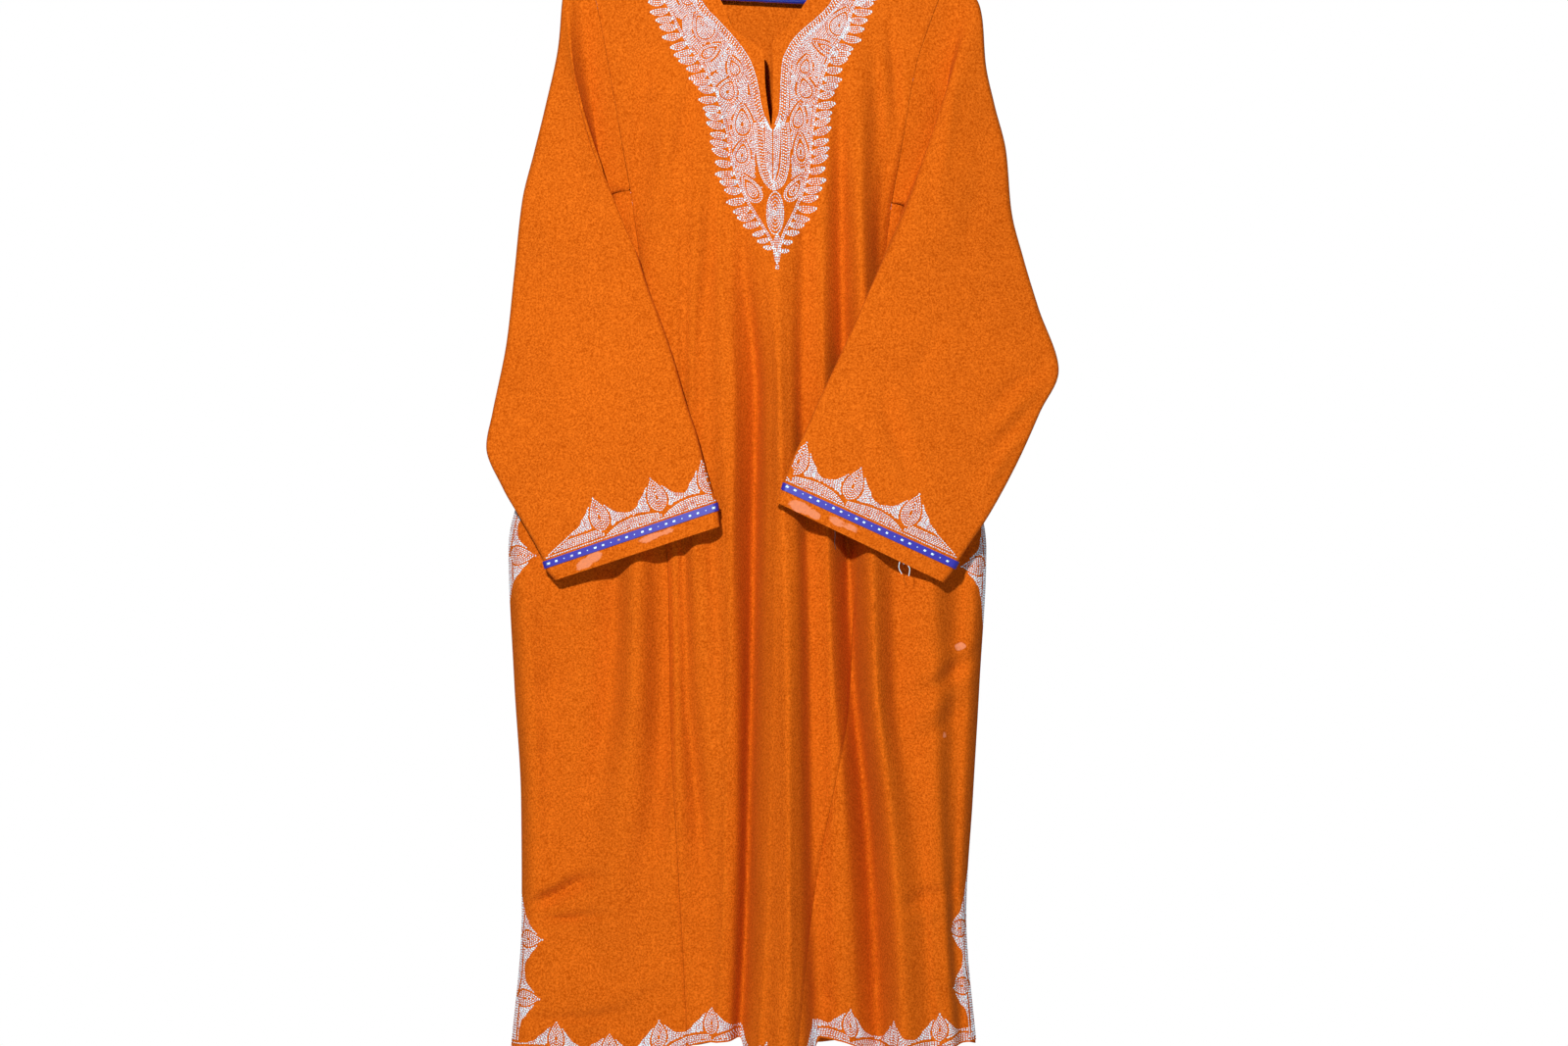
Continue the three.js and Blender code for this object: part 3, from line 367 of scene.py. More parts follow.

# %% [markdown]
# Small creases are laid in on top of the long folds: each is a short path with a
# depth, soft across and fading out at both ends. A positive depth sinks into the garment. In
# Blender they could be drawn with the crease brush; as a list they stay where they belong
# when the mesh under them changes.

# %% Creases in the front
FRONT_CREASES = [
    # path of (x, drop), depth, half width
    ([(-84, 230), (-96, 290), (-110, 360), (-124, 446)], 4.5, 9.0),
    ([(-126, 690), (-123, 800), (-124, 900), (-128, 1000), (-150, 1110)], 7.0, 15.0),
    ([(-196, 690), (-200, 820), (-206, 940), (-212, 1060)], -4.5, 22.0),
    ([(-232, 830), (-236, 930), (-240, 1030)], 3.5, 11.0),
    ([(-96, 640), (-92, 760), (-88, 900)], -2.5, 7.0),
    ([(150, 640), (152, 760), (160, 880)], -4.0, 14.0),
    ([(-50, 236), (-54, 330), (-57, 420), (-54, 540)], 4.0, 5.0),
    ([(-70, 250), (-76, 340), (-84, 430)], -3.0, 9.0),
    ([(-268, 1116), (-240, 1102), (-212, 1087), (-186, 1078)], 11.0, 8.0),
    ([(-260, 1098), (-235, 1086), (-210, 1068)], -6.0, 10.0),
    ([(-258, 1125), (-220, 1122), (-174, 1117)], 6.0, 5.0),
    ([(-262, 905), (-235, 880), (-200, 832)], 3.0, 13.0),
    ([(-262, 962), (-246, 952), (-232, 957)], 3.0, 9.0),
    ([(-245, 795), (-240, 830), (-238, 870)], 2.0, 8.0),
    ([(-230, 788), (-222, 815), (-200, 822)], 2.5, 9.0),
    ([(-270, 1040), (-250, 1048), (-232, 1040)], 2.0, 8.0),
    ([(-180, 1235), (-165, 1228), (-140, 1232)], 2.5, 7.0),
    ([(-210, 1245), (-190, 1240), (-176, 1246)], 2.0, 6.0),
    ([(-118, 1228), (-112, 1215), (-96, 1208)], 2.0, 6.0),
    ([(-196, 1215), (-160, 1198), (-120, 1172)], -5.0, 11.0),
    ([(-262, 1225), (-225, 1226), (-190, 1222), (-160, 1216)], 5.0, 6.0),
    ([(-215, 1120), (-190, 1160), (-176, 1206)], 4.0, 14.0),
    ([(133, 877), (165, 858), (203, 832)], -4.5, 11.0),
    ([(138, 895), (170, 872), (205, 850)], 4.0, 8.0),
    ([(133, 922), (165, 898), (203, 862)], -4.0, 10.0),
    ([(130, 945), (160, 925), (190, 905)], 3.0, 8.0),
    ([(123, 1107), (150, 1096), (183, 1087)], 5.0, 8.0),
    ([(120, 1120), (150, 1112), (185, 1106)], -3.0, 9.0),
    ([(33, 1182), (43, 1198), (53, 1212)], 3.0, 6.0),
    ([(160, 1190), (176, 1196), (194, 1200)], 4.0, 7.0),
    ([(150, 1206), (170, 1212), (190, 1216)], -2.5, 7.0),
    ([(-140, 232), (-146, 300), (-152, 372)], 3.0, 8.0),
    ([(98, 232), (100, 290), (96, 360)], 2.5, 8.0),
    ([(112, 200), (118, 250), (122, 310)], 4.0, 6.0),
    ([(104, 215), (106, 262), (110, 330)], -2.5, 6.0),
    ([(-62, 400), (-70, 440), (-78, 500)], 1.5, 6.0),
    ([(-5, 1130), (8, 1180), (10, 1240)], 1.5, 8.0),
    ([(-22, 1020), (-18, 1100), (-20, 1200)], -1.5, 7.0),
    # the pocket bags' edges showing through the side panels
    ([(-206, 782), (-206, 800), (-205, 820)], 1.6, 2.4),
    ([(-250, 821), (-228, 822), (-206, 820)], 1.6, 2.6),
    ([(150, 825), (155, 832), (162, 838)], 1.6, 2.6),
]
print("front creases:", len(FRONT_CREASES))

# %% Creases in the back
BACK_CREASES = [
    # the first two show through the neck's slit from the front
    ([(-16, 196), (-14, 250), (-12, 330)], 3.0, 3.0),
    ([(-5, 196), (-7, 250), (-8, 330)], -3.0, 3.5),
    ([(-150, 300), (-130, 420), (-120, 560)], -2.5, 12.0),
    ([(90, 320), (84, 430), (86, 560)], -2.5, 12.0),
    ([(-262, 900), (-230, 870), (-190, 850)], -3.0, 12.0),
    ([(-250, 1090), (-215, 1070), (-180, 1066)], -4.0, 9.0),
    ([(180, 880), (150, 862), (120, 856)], -3.0, 11.0),
    ([(184, 1080), (150, 1066), (118, 1062)], -3.5, 9.0),
    ([(-60, 900), (-40, 960), (-46, 1040)], -2.0, 9.0),
    ([(30, 700), (44, 770), (40, 850)], -2.0, 9.0),
]
print("back creases:", len(BACK_CREASES))

# %% Creases in the sleeves
LEFT_SLEEVE_CREASES = [
    ([(-262, 660), (-225, 640), (-180, 632)], 2.0, 8.0),
    ([(-175, 640), (-150, 628), (-122, 640)], 2.5, 7.0),
    ([(-160, 662), (-140, 655), (-118, 662)], 2.0, 6.0),
    ([(-142, 628), (-128, 634), (-112, 628)], -2.0, 6.0),
    ([(-230, 682), (-205, 668), (-172, 668)], 1.5, 7.0),
    ([(-222, 300), (-200, 380), (-178, 460)], 1.8, 12.0),
    ([(-250, 440), (-215, 470), (-190, 530)], 1.5, 12.0),
    ([(-282, 600), (-250, 596), (-215, 604)], 1.8, 9.0),
    ([(-120, 560), (-108, 600), (-98, 640)], -1.8, 7.0),
    ([(-205, 225), (-196, 280), (-180, 350)], 2.0, 7.0),
]
RIGHT_SLEEVE_CREASES = [
    ([(108, 577), (108, 602), (118, 632), (133, 672)], 5.0, 9.0),
    ([(122, 575), (124, 600), (134, 628)], -3.0, 9.0),
    ([(168, 512), (143, 552), (128, 577)], 3.0, 10.0),
    ([(278, 557), (243, 572), (213, 602)], 5.0, 9.0),
    ([(270, 575), (240, 594), (214, 624)], -3.5, 9.0),
    ([(248, 622), (225, 655), (203, 682)], -4.0, 9.0),
    ([(258, 600), (230, 628), (205, 650)], 3.0, 8.0),
    ([(60, 600), (80, 622), (92, 650)], 1.8, 8.0),
    ([(168, 262), (160, 330), (146, 400)], 2.5, 7.0),
    ([(178, 232), (172, 300), (160, 380)], -2.5, 8.0),
    ([(210, 330), (196, 400), (180, 460)], 2.0, 13.0),
    ([(60, 655), (90, 672), (120, 690)], 1.5, 7.0),
    ([(226, 470), (200, 500), (180, 540)], 1.8, 11.0),
]
print("sleeve creases:", len(LEFT_SLEEVE_CREASES), "left,", len(RIGHT_SLEEVE_CREASES), "right")

# %% The depth a crease adds
FADE_START, FADE_SPAN = 0.08, 0.84


def crease_depth(creases, x, drop):
    """The added depth of all the creases at places across and down."""
    total = np.zeros(x.shape)
    for trail, depth, half_width in creases:
        trail = np.array(trail, float)
        lengths = np.hypot(*np.diff(trail, axis=0).T)
        start = np.concatenate([[0], np.cumsum(lengths)])
        near = np.full(x.shape, 1e9)
        along = np.zeros(x.shape)
        for k in range(len(trail) - 1):
            ax, ay = trail[k]
            dx, dy = trail[k + 1] - trail[k]
            t = np.clip(((x - ax) * dx + (drop - ay) * dy) / (dx * dx + dy * dy), 0, 1)
            far = np.hypot(x - ax - t * dx, drop - ay - t * dy)
            closer = far < near
            near = np.where(closer, far, near)
            along = np.where(closer, (start[k] + t * lengths[k]) / start[-1], along)
        fade = np.clip(np.sin(np.pi * (FADE_START + FADE_SPAN * along)), 0, 1)
        total += depth * fade * np.exp(-(near / half_width) ** 2)
    return total


deepest = max(abs(depth) for _, depth, _ in FRONT_CREASES)
print("the deepest crease is", deepest, "mm, of fold height", -front.y.min(), "mm")

# %% [markdown]
# Cloth is a thin wall, and the work is done on a grid: rows run down the garment and columns
# across it. The normals say which way is out, and the lengths along rows and columns, summed
# up, lay the cloth flat again. That flat cloth becomes the UV map, in metres.

# %% Normals and the flat cloth
def unit(v):
    return v / np.maximum(np.linalg.norm(v, axis=-1, keepdims=True), 1e-12)


def grid_normals(grid, loop):
    across = np.gradient(grid, axis=1)
    if loop:
        across[:, 0] = (grid[:, 1] - grid[:, -1]) / 2
        across[:, -1] = (grid[:, 0] - grid[:, -2]) / 2
    return unit(np.cross(np.gradient(grid, axis=0), across))


def flat_map(grid):
    across = np.linalg.norm(np.diff(grid, axis=1), axis=2)
    down = np.linalg.norm(np.diff(grid, axis=0), axis=2)
    u = np.pad(np.cumsum(across, axis=1), ((0, 0), (1, 0)))
    u -= u[:, u.shape[1] // 2][:, None]
    v = np.pad(np.cumsum(down, axis=0), ((1, 0), (0, 0)))
    return np.stack([u, -v], axis=2)


print("the direction of (3, 4) is", unit(np.array([3.0, 4.0])))

# %% [markdown]
# Points and faces become an object here. from_pydata makes the mesh in one step, which is
# much faster than adding tens of thousands of faces with operators. A float attribute on the
# points can carry a mark, such as a stain, into the material.

# %% Meshes from points and faces
def add_mesh(name, points, faces, material, uv=None, marks=None, sharp=50.0):
    mesh = bpy.data.meshes.new(name)
    mesh.from_pydata(points.tolist(), [], faces.tolist() if hasattr(faces, "tolist") else faces)
    mesh.update()
    if uv is not None:
        layer = mesh.uv_layers.new(name="cloth")
        corner = np.empty(len(mesh.loops), int)
        mesh.loops.foreach_get("vertex_index", corner)
        layer.data.foreach_set("uv", uv[corner].astype(np.float32).ravel())
    for mark, values in (marks or {}).items():
        attribute = mesh.attributes.new(mark, "FLOAT", "POINT")
        attribute.data.foreach_set("value", values.astype(np.float32))
    mesh.polygons.foreach_set("use_smooth", np.ones(len(mesh.polygons), bool))
    if sharp:
        mesh.set_sharp_from_angle(angle=math.radians(sharp))
    piece = bpy.data.objects.new(name, mesh)
    scene.collection.objects.link(piece)
    mesh.materials.append(material)
    print(name, len(mesh.vertices), "points", len(mesh.polygons), "faces")
    return piece


# %% [markdown]
# The inner face of a panel is its grid moved in along the normals, and the two faces are
# joined along every open edge, so that each panel is one closed shell with a real cut edge.
# A Solidify modifier does the same, but it knows nothing of the slit, where two columns are
# apart above its foot and one below it.

# %% A closed cloth shell
WALL = 1.3


def shell(name, grid, material, wall=WALL, loop=False, stain=None, split=None):
    """A closed cloth shell from a grid of outer points in millimetres. loop joins the last
    column to the first. split is (column, row): the cloth is open between that column and the
    next above the row, and one piece below it."""
    height, width = grid.shape[:2]
    if split:
        normals = np.concatenate([grid_normals(grid[:, :split[0]], False),
                                  grid_normals(grid[:, split[0]:], False)], axis=1)
        flat = np.concatenate([flat_map(grid[:, :split[0]]), flat_map(grid[:, split[0]:])],
                              axis=1)
    else:
        normals, flat = grid_normals(grid, loop), flat_map(grid)
    index = np.arange(height * width).reshape(height, width)
    if split:
        column, row = split
        shared = unit(normals[row:, column - 1] + normals[row:, column])
        normals[row:, column - 1] = normals[row:, column] = shared
        index[row:, column] = index[row:, column - 1]
    if loop:
        index = np.concatenate([index, index[:, :1]], axis=1)
    quads = np.stack([index[:-1, :-1], index[1:, :-1], index[1:, 1:], index[:-1, 1:]], axis=-1)
    if split:
        quads = np.delete(quads, split[0] - 1, axis=1)
    outer_faces = quads.reshape(-1, 4)
    shift = height * width
    edges = np.concatenate([outer_faces[:, [k, (k + 1) % 4]] for k in range(4)])
    key = edges.min(axis=1) * shift + edges.max(axis=1)
    _, first, count = np.unique(key, return_index=True, return_counts=True)
    rim = edges[first[count == 1]]
    hem_faces = np.stack([rim[:, 1], rim[:, 0], rim[:, 0] + shift, rim[:, 1] + shift], axis=1)
    faces = np.concatenate([outer_faces, outer_faces[:, ::-1] + shift, hem_faces])
    points = np.concatenate([grid.reshape(-1, 3), (grid - normals * wall).reshape(-1, 3)]) * MM
    flat = np.concatenate([flat.reshape(-1, 2)] * 2) * MM
    marks = None if stain is None else np.concatenate([stain.ravel(), stain.ravel() * 0])
    used, faces = np.unique(faces, return_inverse=True)
    return add_mesh(name, points[used], faces.reshape(-1, 4), material, flat[used],
                    None if marks is None else {"stain": marks[used]})


print("cloth wall:", WALL, "mm")

# %% [markdown]
# Materials are trees of nodes. These helpers each add one node, feed it and hand back its
# output, so that a material reads like a recipe.

# %% Helpers for materials
def node_material(name):
    material = bpy.data.materials.new(name)
    material.use_nodes = True
    tree = material.node_tree
    return material, tree, tree.nodes["Principled BSDF"]


def ramp(tree, source, low, high, start=0.35, end=0.65):
    node = tree.nodes.new("ShaderNodeValToRGB")
    node.color_ramp.elements[0].position = start
    node.color_ramp.elements[1].position = end
    node.color_ramp.elements[0].color = low
    node.color_ramp.elements[1].color = high
    tree.links.new(source, node.inputs["Fac"])
    return node.outputs["Color"]


def noise(tree, vector, scale, detail=3.0, roughness=0.6):
    node = tree.nodes.new("ShaderNodeTexNoise")
    node.inputs["Scale"].default_value = scale
    node.inputs["Detail"].default_value = detail
    node.inputs["Roughness"].default_value = roughness
    tree.links.new(vector, node.inputs["Vector"])
    return node.outputs["Fac"]


def feed(tree, value, socket):
    if isinstance(value, (tuple, float)):
        socket.default_value = value
    else:
        tree.links.new(value, socket)


def mix(tree, amount, first, second):
    node = tree.nodes.new("ShaderNodeMix")
    node.data_type = "RGBA"
    for value, k in ((amount, 0), (first, 6), (second, 7)):
        feed(tree, value, node.inputs[k])
    return node.outputs[2]


def calculate(tree, operation, *values):
    node = tree.nodes.new("ShaderNodeMath")
    node.operation = operation
    for value, socket in zip(values, node.inputs):
        feed(tree, value, socket)
    return node.outputs[0]


def bump(tree, height, strength, distance, normal=None):
    node = tree.nodes.new("ShaderNodeBump")
    node.inputs["Strength"].default_value = strength
    node.inputs["Distance"].default_value = distance
    tree.links.new(height, node.inputs["Height"])
    if normal is not None:
        tree.links.new(normal, node.inputs["Normal"])
    return node.outputs["Normal"]


# %% [markdown]
# The wool is a thick fulled cloth: one warm rust orange, slightly uneven in shade, with a
# short nap. Broad noise gives the uneven dye and fine noise the tufts, both on Object
# coordinates, so they run on across the seams. Two fine bumps roughen it, and a weak sheen
# catches light at grazing angles. A woven texture would be wrong here, because fulling hides
# the weave. The stain mark on the points lets a pale, ragged patch through.

# %% Wool
DYE_DEEP, DYE_BRIGHT = (0.50, 0.086, 0.001, 1), (0.62, 0.113, 0.002, 1)
NAP_DEEP, NAP_BRIGHT = (0.35, 0.050, 0.0005, 1), (0.78, 0.172, 0.012, 1)
GLUE_MARK = (0.80, 0.30, 0.16, 1.0)


def wool_material():
    material, tree, shader = node_material("fulled_wool")
    place = tree.nodes.new("ShaderNodeTexCoord").outputs["Object"]
    broad = ramp(tree, noise(tree, place, 14.0, 3.0, 0.6), DYE_DEEP, DYE_BRIGHT)
    nap = noise(tree, place, 520.0, 3.0, 0.7)
    colour = mix(tree, 0.70, broad, ramp(tree, nap, NAP_DEEP, NAP_BRIGHT, 0.36, 0.64))
    stain = tree.nodes.new("ShaderNodeAttribute")
    stain.attribute_name = "stain"
    edge = calculate(tree, "MULTIPLY_ADD", noise(tree, place, 160.0, 4.0, 0.7), 1.6, 0.2)
    ragged = calculate(tree, "MULTIPLY", stain.outputs["Fac"], edge)
    patch = ramp(tree, ragged, (0, 0, 0, 1), (1, 1, 1, 1), 0.42, 0.58)
    colour = mix(tree, calculate(tree, "MULTIPLY", patch, 0.6), colour, GLUE_MARK)
    tree.links.new(colour, shader.inputs["Base Color"])
    shader.inputs["Roughness"].default_value = 0.95
    shader.inputs["Specular IOR Level"].default_value = 0.03
    shader.inputs["Sheen Weight"].default_value = 0.05
    shader.inputs["Sheen Roughness"].default_value = 0.45
    shader.inputs["Sheen Tint"].default_value = (1.0, 0.42, 0.12, 1.0)
    flat_cloth = tree.nodes.new("ShaderNodeUVMap")
    flat_cloth.uv_map = "cloth"
    fibres = noise(tree, flat_cloth.outputs["UV"], 900.0, 2.0, 0.6)
    tufts = bump(tree, nap, 0.35, 0.0006)
    tree.links.new(bump(tree, fibres, 0.25, 0.0004, tufts), shader.inputs["Normal"])
    return material


wool = wool_material()
print("wool:", len(wool.node_tree.nodes), "nodes")

# %% [markdown]
# The cuff tapes are a smooth woven ribbon and the hanger is glossy moulded plastic. Both are
# one plain colour, and only their roughness and the plastic's clear coat tell them apart.

# %% Tape and plastic
tape_cloth, _, tape_shader = node_material("blue_tape")
tape_shader.inputs["Base Color"].default_value = (0.022, 0.020, 0.36, 1.0)
tape_shader.inputs["Roughness"].default_value = 0.55
plastic, _, plastic_shader = node_material("blue_plastic")
plastic_shader.inputs["Base Color"].default_value = (0.008, 0.022, 0.26, 1.0)
plastic_shader.inputs["Roughness"].default_value = 0.22
plastic_shader.inputs["Coat Weight"].default_value = 0.3
print("materials:", [wool.name, tape_cloth.name, plastic.name])

# %% [markdown]
# Fulled wool is too thick to crease sharply, so the depth of the cloth is an average over a
# few millimetres of its layer. A share of each fold's height is added back, the seams are
# sunk a little, and near the shoulder the cloth eases into the round of the hanger's arm.

# %% Depth of the draped cloth
RELIEF, RELIEF_REACH = 0.4, 22.0
SEAM_SINK, SEAM_WIDTH = 2.0, 2.2
EASE_DROP = 45.0
TOP_LEVEL, FOOT_LEVEL = LEVELS[0], LEVELS[-1]
SOFT_SHIFTS = np.linspace(-8.0, 8.0, 11)
SOFT_SHARES = np.exp(-(SOFT_SHIFTS / 4.6) ** 2) / np.exp(-(SOFT_SHIFTS / 4.6) ** 2).sum()


def line(table, shift=0.0):
    drops, across = np.array(table[0], float), np.array(table[1], float)
    return lambda drop: smooth(drops, across, drop) + shift


def cloth_depth(layer, x, drop, creases):
    """Depth of the draped cloth below the arms, where it leaves the shoulder's round."""
    level = np.maximum(TOP_LEVEL, drop)
    left, right = layer.edge(0, level), layer.edge(-1, level)
    inside = np.minimum(x - left, right - x)
    reach = np.minimum(1.0, np.maximum(0.0, inside / SOFT_SHIFTS[-1]))
    y = sum(share * layer.depth(x + shift * reach, level)
            for shift, share in zip(SOFT_SHIFTS, SOFT_SHARES))
    reach = RELIEF_REACH * np.clip(inside / RELIEF_REACH, 0, 1)
    y = y + RELIEF * (y - (layer.depth(x - reach, level) + layer.depth(x + reach, level)) / 2)
    for table in (SEAM_LEFT, SEAM_RIGHT) if layer is front else (BACK_SEAM_LEFT, BACK_SEAM_RIGHT):
        y = y - layer.side * SEAM_SINK * np.exp(-((x - line(table)(drop)) / SEAM_WIDTH) ** 2)
    ease = np.clip((drop - arm(x)[0]) / EASE_DROP, 0, 1)
    y = layer.side * SHOULDER_RADIUS * (1 - ease) + y * ease
    creased = crease_depth(creases, x, drop)
    return y - layer.side * creased * np.clip(np.abs(y) / 12, 0, 1) * ease


middle, chest = np.array([0.0]), np.array([350.0])
print("the chest stands at y =", np.round(cloth_depth(front, middle, chest, ()), 1), "mm")

# %% [markdown]
# A panel is cut between two lines, such as a seam and the neck's edge. Its rows start on top
# of the hanger's arm, wrap over it, then fall to the hem; every row below the slit's foot is
# level, so the two halves of the front share their centre line exactly. The shoulder's crest
# depends on the place across and that place on the crest, so a short loop settles both.

# %% Draping a panel
WRAP = np.radians(np.linspace(0, 90, 9))
NECK_TURN = 4.0
FIRST_GUESS = 150.0
EDGE_GAP = 0.15


def spread(shares, left, right):
    return left + (right - left) * shares


def drape(layer, left_line, right_line, shares, rows, top=None, scoop=None, creases=()):
    """Outer points of a panel between two lines. rows is the count above the level drop, the
    step of the level rows, the level drop, the last level row's drop and the count below it.
    top is the panel's upper edge where it isn't the shoulder; scoop is (left, right, drops)
    of a neck edge that interrupts the shoulder."""
    above, step, level, foot, below = rows
    x = spread(shares, left_line(FIRST_GUESS), right_line(FIRST_GUESS))
    for _ in range(60):
        crest, _ = arm(x)
        x = 0.5 * x + 0.5 * spread(shares, left_line(crest), right_line(crest))
    crest, stretch = arm(x)
    foot_x = spread(shares, left_line(FOOT_LEVEL), right_line(FOOT_LEVEL))
    hem = smooth(HEM_X, layer.hem, foot_x)
    grid = []
    begin = crest if top is None else top
    if top is None:
        neck = np.zeros(len(x), bool)
        if scoop is not None:
            neck = (x > scoop[0][0]) & (x < scoop[0][-1])
            edge = np.interp(x, scoop[0], scoop[1])
            begin = np.where(neck, edge + NECK_TURN, crest)
        for k, turn in enumerate(WRAP):
            drop = crest - SHOULDER_RADIUS * stretch * np.cos(turn)
            out = np.maximum(EDGE_GAP, SHOULDER_RADIUS * np.sin(turn))
            y = layer.side * out * np.ones_like(x)
            if neck.any():
                low = begin - NECK_TURN + NECK_TURN * k / (len(WRAP) - 1)
                y = np.where(neck, cloth_depth(layer, x, low, ()), y)
                drop = np.where(neck, low, drop)
            grid.append(np.stack([x, y, -drop], axis=1))
    falls = np.linspace(0, 1, above)[(0 if top is not None else 1):]
    drops = [begin + (level - begin) * t for t in falls]
    drops += [np.full_like(x, d) for d in np.arange(level, foot - step / 2, step)[1:]]
    drops += [foot + (hem - foot) * t for t in np.linspace(0, 1, below)]
    for drop in drops:
        here = spread(shares, left_line(drop), right_line(drop))
        grid.append(np.stack([here, cloth_depth(layer, here, drop, creases), -drop], axis=1))
    return np.array(grid)


# %% [markdown]
# The two halves of the front are draped apart, because the neck's slit parts them, and then
# laid side by side in one grid. The shell joins their middle columns below the slit's foot.
# Edges that meet at a seam stay a hair apart, as two cut edges do.

# %% The front panel
CENTRE_X = -10.0
FRONT_COLUMNS = 64
LAST_LEVEL = 1122.0
FRONT_ROWS = (44, 4.4, SLIT_FOOT, LAST_LEVEL, 34)


def even(count):
    return np.linspace(0, 1, count)


def neck_line(table):
    edge = line(table)
    return lambda drop: np.where(np.asarray(drop) < SLIT_FOOT - 0.01, edge(drop), CENTRE_X)


left_half = drape(front, line(SEAM_LEFT, EDGE_GAP), neck_line(NECK_LEFT), even(FRONT_COLUMNS),
                  FRONT_ROWS, creases=FRONT_CREASES)
right_half = drape(front, neck_line(NECK_RIGHT), line(SEAM_RIGHT, -EDGE_GAP), even(FRONT_COLUMNS),
                   FRONT_ROWS, creases=FRONT_CREASES)
front_grid = np.concatenate([left_half, right_half], axis=1)
slit_row = int(np.argmax(np.abs(-left_half[:, -1, 2] - SLIT_FOOT) < 0.01))
front_panel = shell("front_body", front_grid, wool, split=(FRONT_COLUMNS, slit_row))
print("front", front_grid.shape, "slit ends at row", slit_row)

# %% [markdown]
# Glue and wear have left a few pale patches. Each is an ellipse that fades towards its edge,
# and the wool's noise makes that edge ragged. A painted texture would do the same, but it
# needs a file beside the scene, and a mark on the points needs none.

# %% Stains
def stain_marks(grid, patches):
    """How strongly each point is faded: patches are (x, drop, half length, half height, tilt)."""
    x, drop = grid[..., 0], -grid[..., 2]
    mark = np.zeros(x.shape)
    for px, pd, length, height, tilt in patches:
        turn = math.radians(tilt)
        along = (x - px) * math.cos(turn) + (drop - pd) * math.sin(turn)
        across = -(x - px) * math.sin(turn) + (drop - pd) * math.cos(turn)
        out = np.hypot(along / length, across / height)
        mark = np.maximum(mark, np.clip(1.35 - out * 0.85, 0, 1))
    return mark


print("a stain's middle is marked",
      stain_marks(np.zeros((1, 1, 3)), [(0, 0, 5, 3, 0)]).max())

# %% [markdown]
# Each side panel is a gore: it hangs from the short underarm seam and flares out to the
# body's edge. Its columns crowd towards the edge, where the cloth turns back and an even
# spacing would show corners.

# %% Side panels
# the underarm seam's inner end on the panel's seam, and its tip: x and drop
UNDERARM_LEFT = ((-156.0, 371.0), (-174.6, 374.5))
UNDERARM_RIGHT = ((114.5, 384.0), (126.9, 387.0))
FIRST_LEVEL = 430.0
TOP_RUN, HEM_RUN = 56, 146


def crowd(count):
    """Shares across a side panel, closer together at the body's folded edge."""
    return np.concatenate([[0, 0.003, 0.008, 0.016, 0.027, 0.042, 0.06],
                           np.linspace(0.08, 1, count - 7)])


def side_drape(layer, seam, side, columns, step, creases):
    inner, tip = UNDERARM_LEFT if side < 0 else UNDERARM_RIGHT
    shares = 1 - crowd(columns)[::-1] if side > 0 else crowd(columns)
    top_share = shares if side < 0 else 1 - shares

    def edge(drop):
        return layer.edge(0 if side < 0 else -1, drop)

    top = tip[1] + 0.9 + (inner[1] + 0.6 - tip[1] - 0.9) * top_share
    left, right = (edge, seam) if side < 0 else (seam, edge)
    rows = (round(TOP_RUN / step), step, FIRST_LEVEL, LAST_LEVEL, round(HEM_RUN / step))
    return drape(layer, left, right, shares, rows, top=top, creases=creases)


SIDE_PATCHES = {"front_right": [(184, 842, 6, 4, -20), (167.5, 932, 3, 2.4, 0)]}
side_pieces = {}
for name, layer, seam, side, columns, step, creases in (
        ("front_left", front, line(SEAM_LEFT, -EDGE_GAP), -1, 62, 4.2, FRONT_CREASES),
        ("front_right", front, line(SEAM_RIGHT, EDGE_GAP), 1, 62, 4.2, FRONT_CREASES),
        ("back_left", back, line(BACK_SEAM_LEFT, -EDGE_GAP), -1, 36, 6.0, BACK_CREASES),
        ("back_right", back, line(BACK_SEAM_RIGHT, EDGE_GAP), 1, 36, 6.0, BACK_CREASES)):
    grid = side_drape(layer, seam, side, columns, step, creases)
    if layer is back:
        grid = grid[:, ::-1]
    marks = stain_marks(grid, SIDE_PATCHES[name]) if name in SIDE_PATCHES else None
    side_pieces[name] = shell("side_" + name, grid, wool, stain=marks)
    print("side", name, grid.shape)

# %% [markdown]
# The back is one panel. Its top edge goes over the arms at the shoulders and along the neck's
# shallow scoop between them, so its first rows are told where that scoop is.

# %% The back panel
back_grid = drape(back, line(BACK_SEAM_LEFT, EDGE_GAP), line(BACK_SEAM_RIGHT, -EDGE_GAP),
                  even(84), (12, 6.0, 190.0, LAST_LEVEL, 24), scoop=BACK_NECK,
                  creases=BACK_CREASES)[:, ::-1]
back_panel = shell("back_body", back_grid, wool)
print("back", back_grid.shape)

# %% [markdown]
# A sleeve is a flattened tube. Its table gives the sections from the armhole to the cuff's
# edge: both folded ends, the depth of its middle, how round the ends are, how far the front
# and back swell, and how the middle bows. A tube could be extruded along a curve instead, but
# a pheran's sleeve is so wide and flat that its two folds lead separate lives.

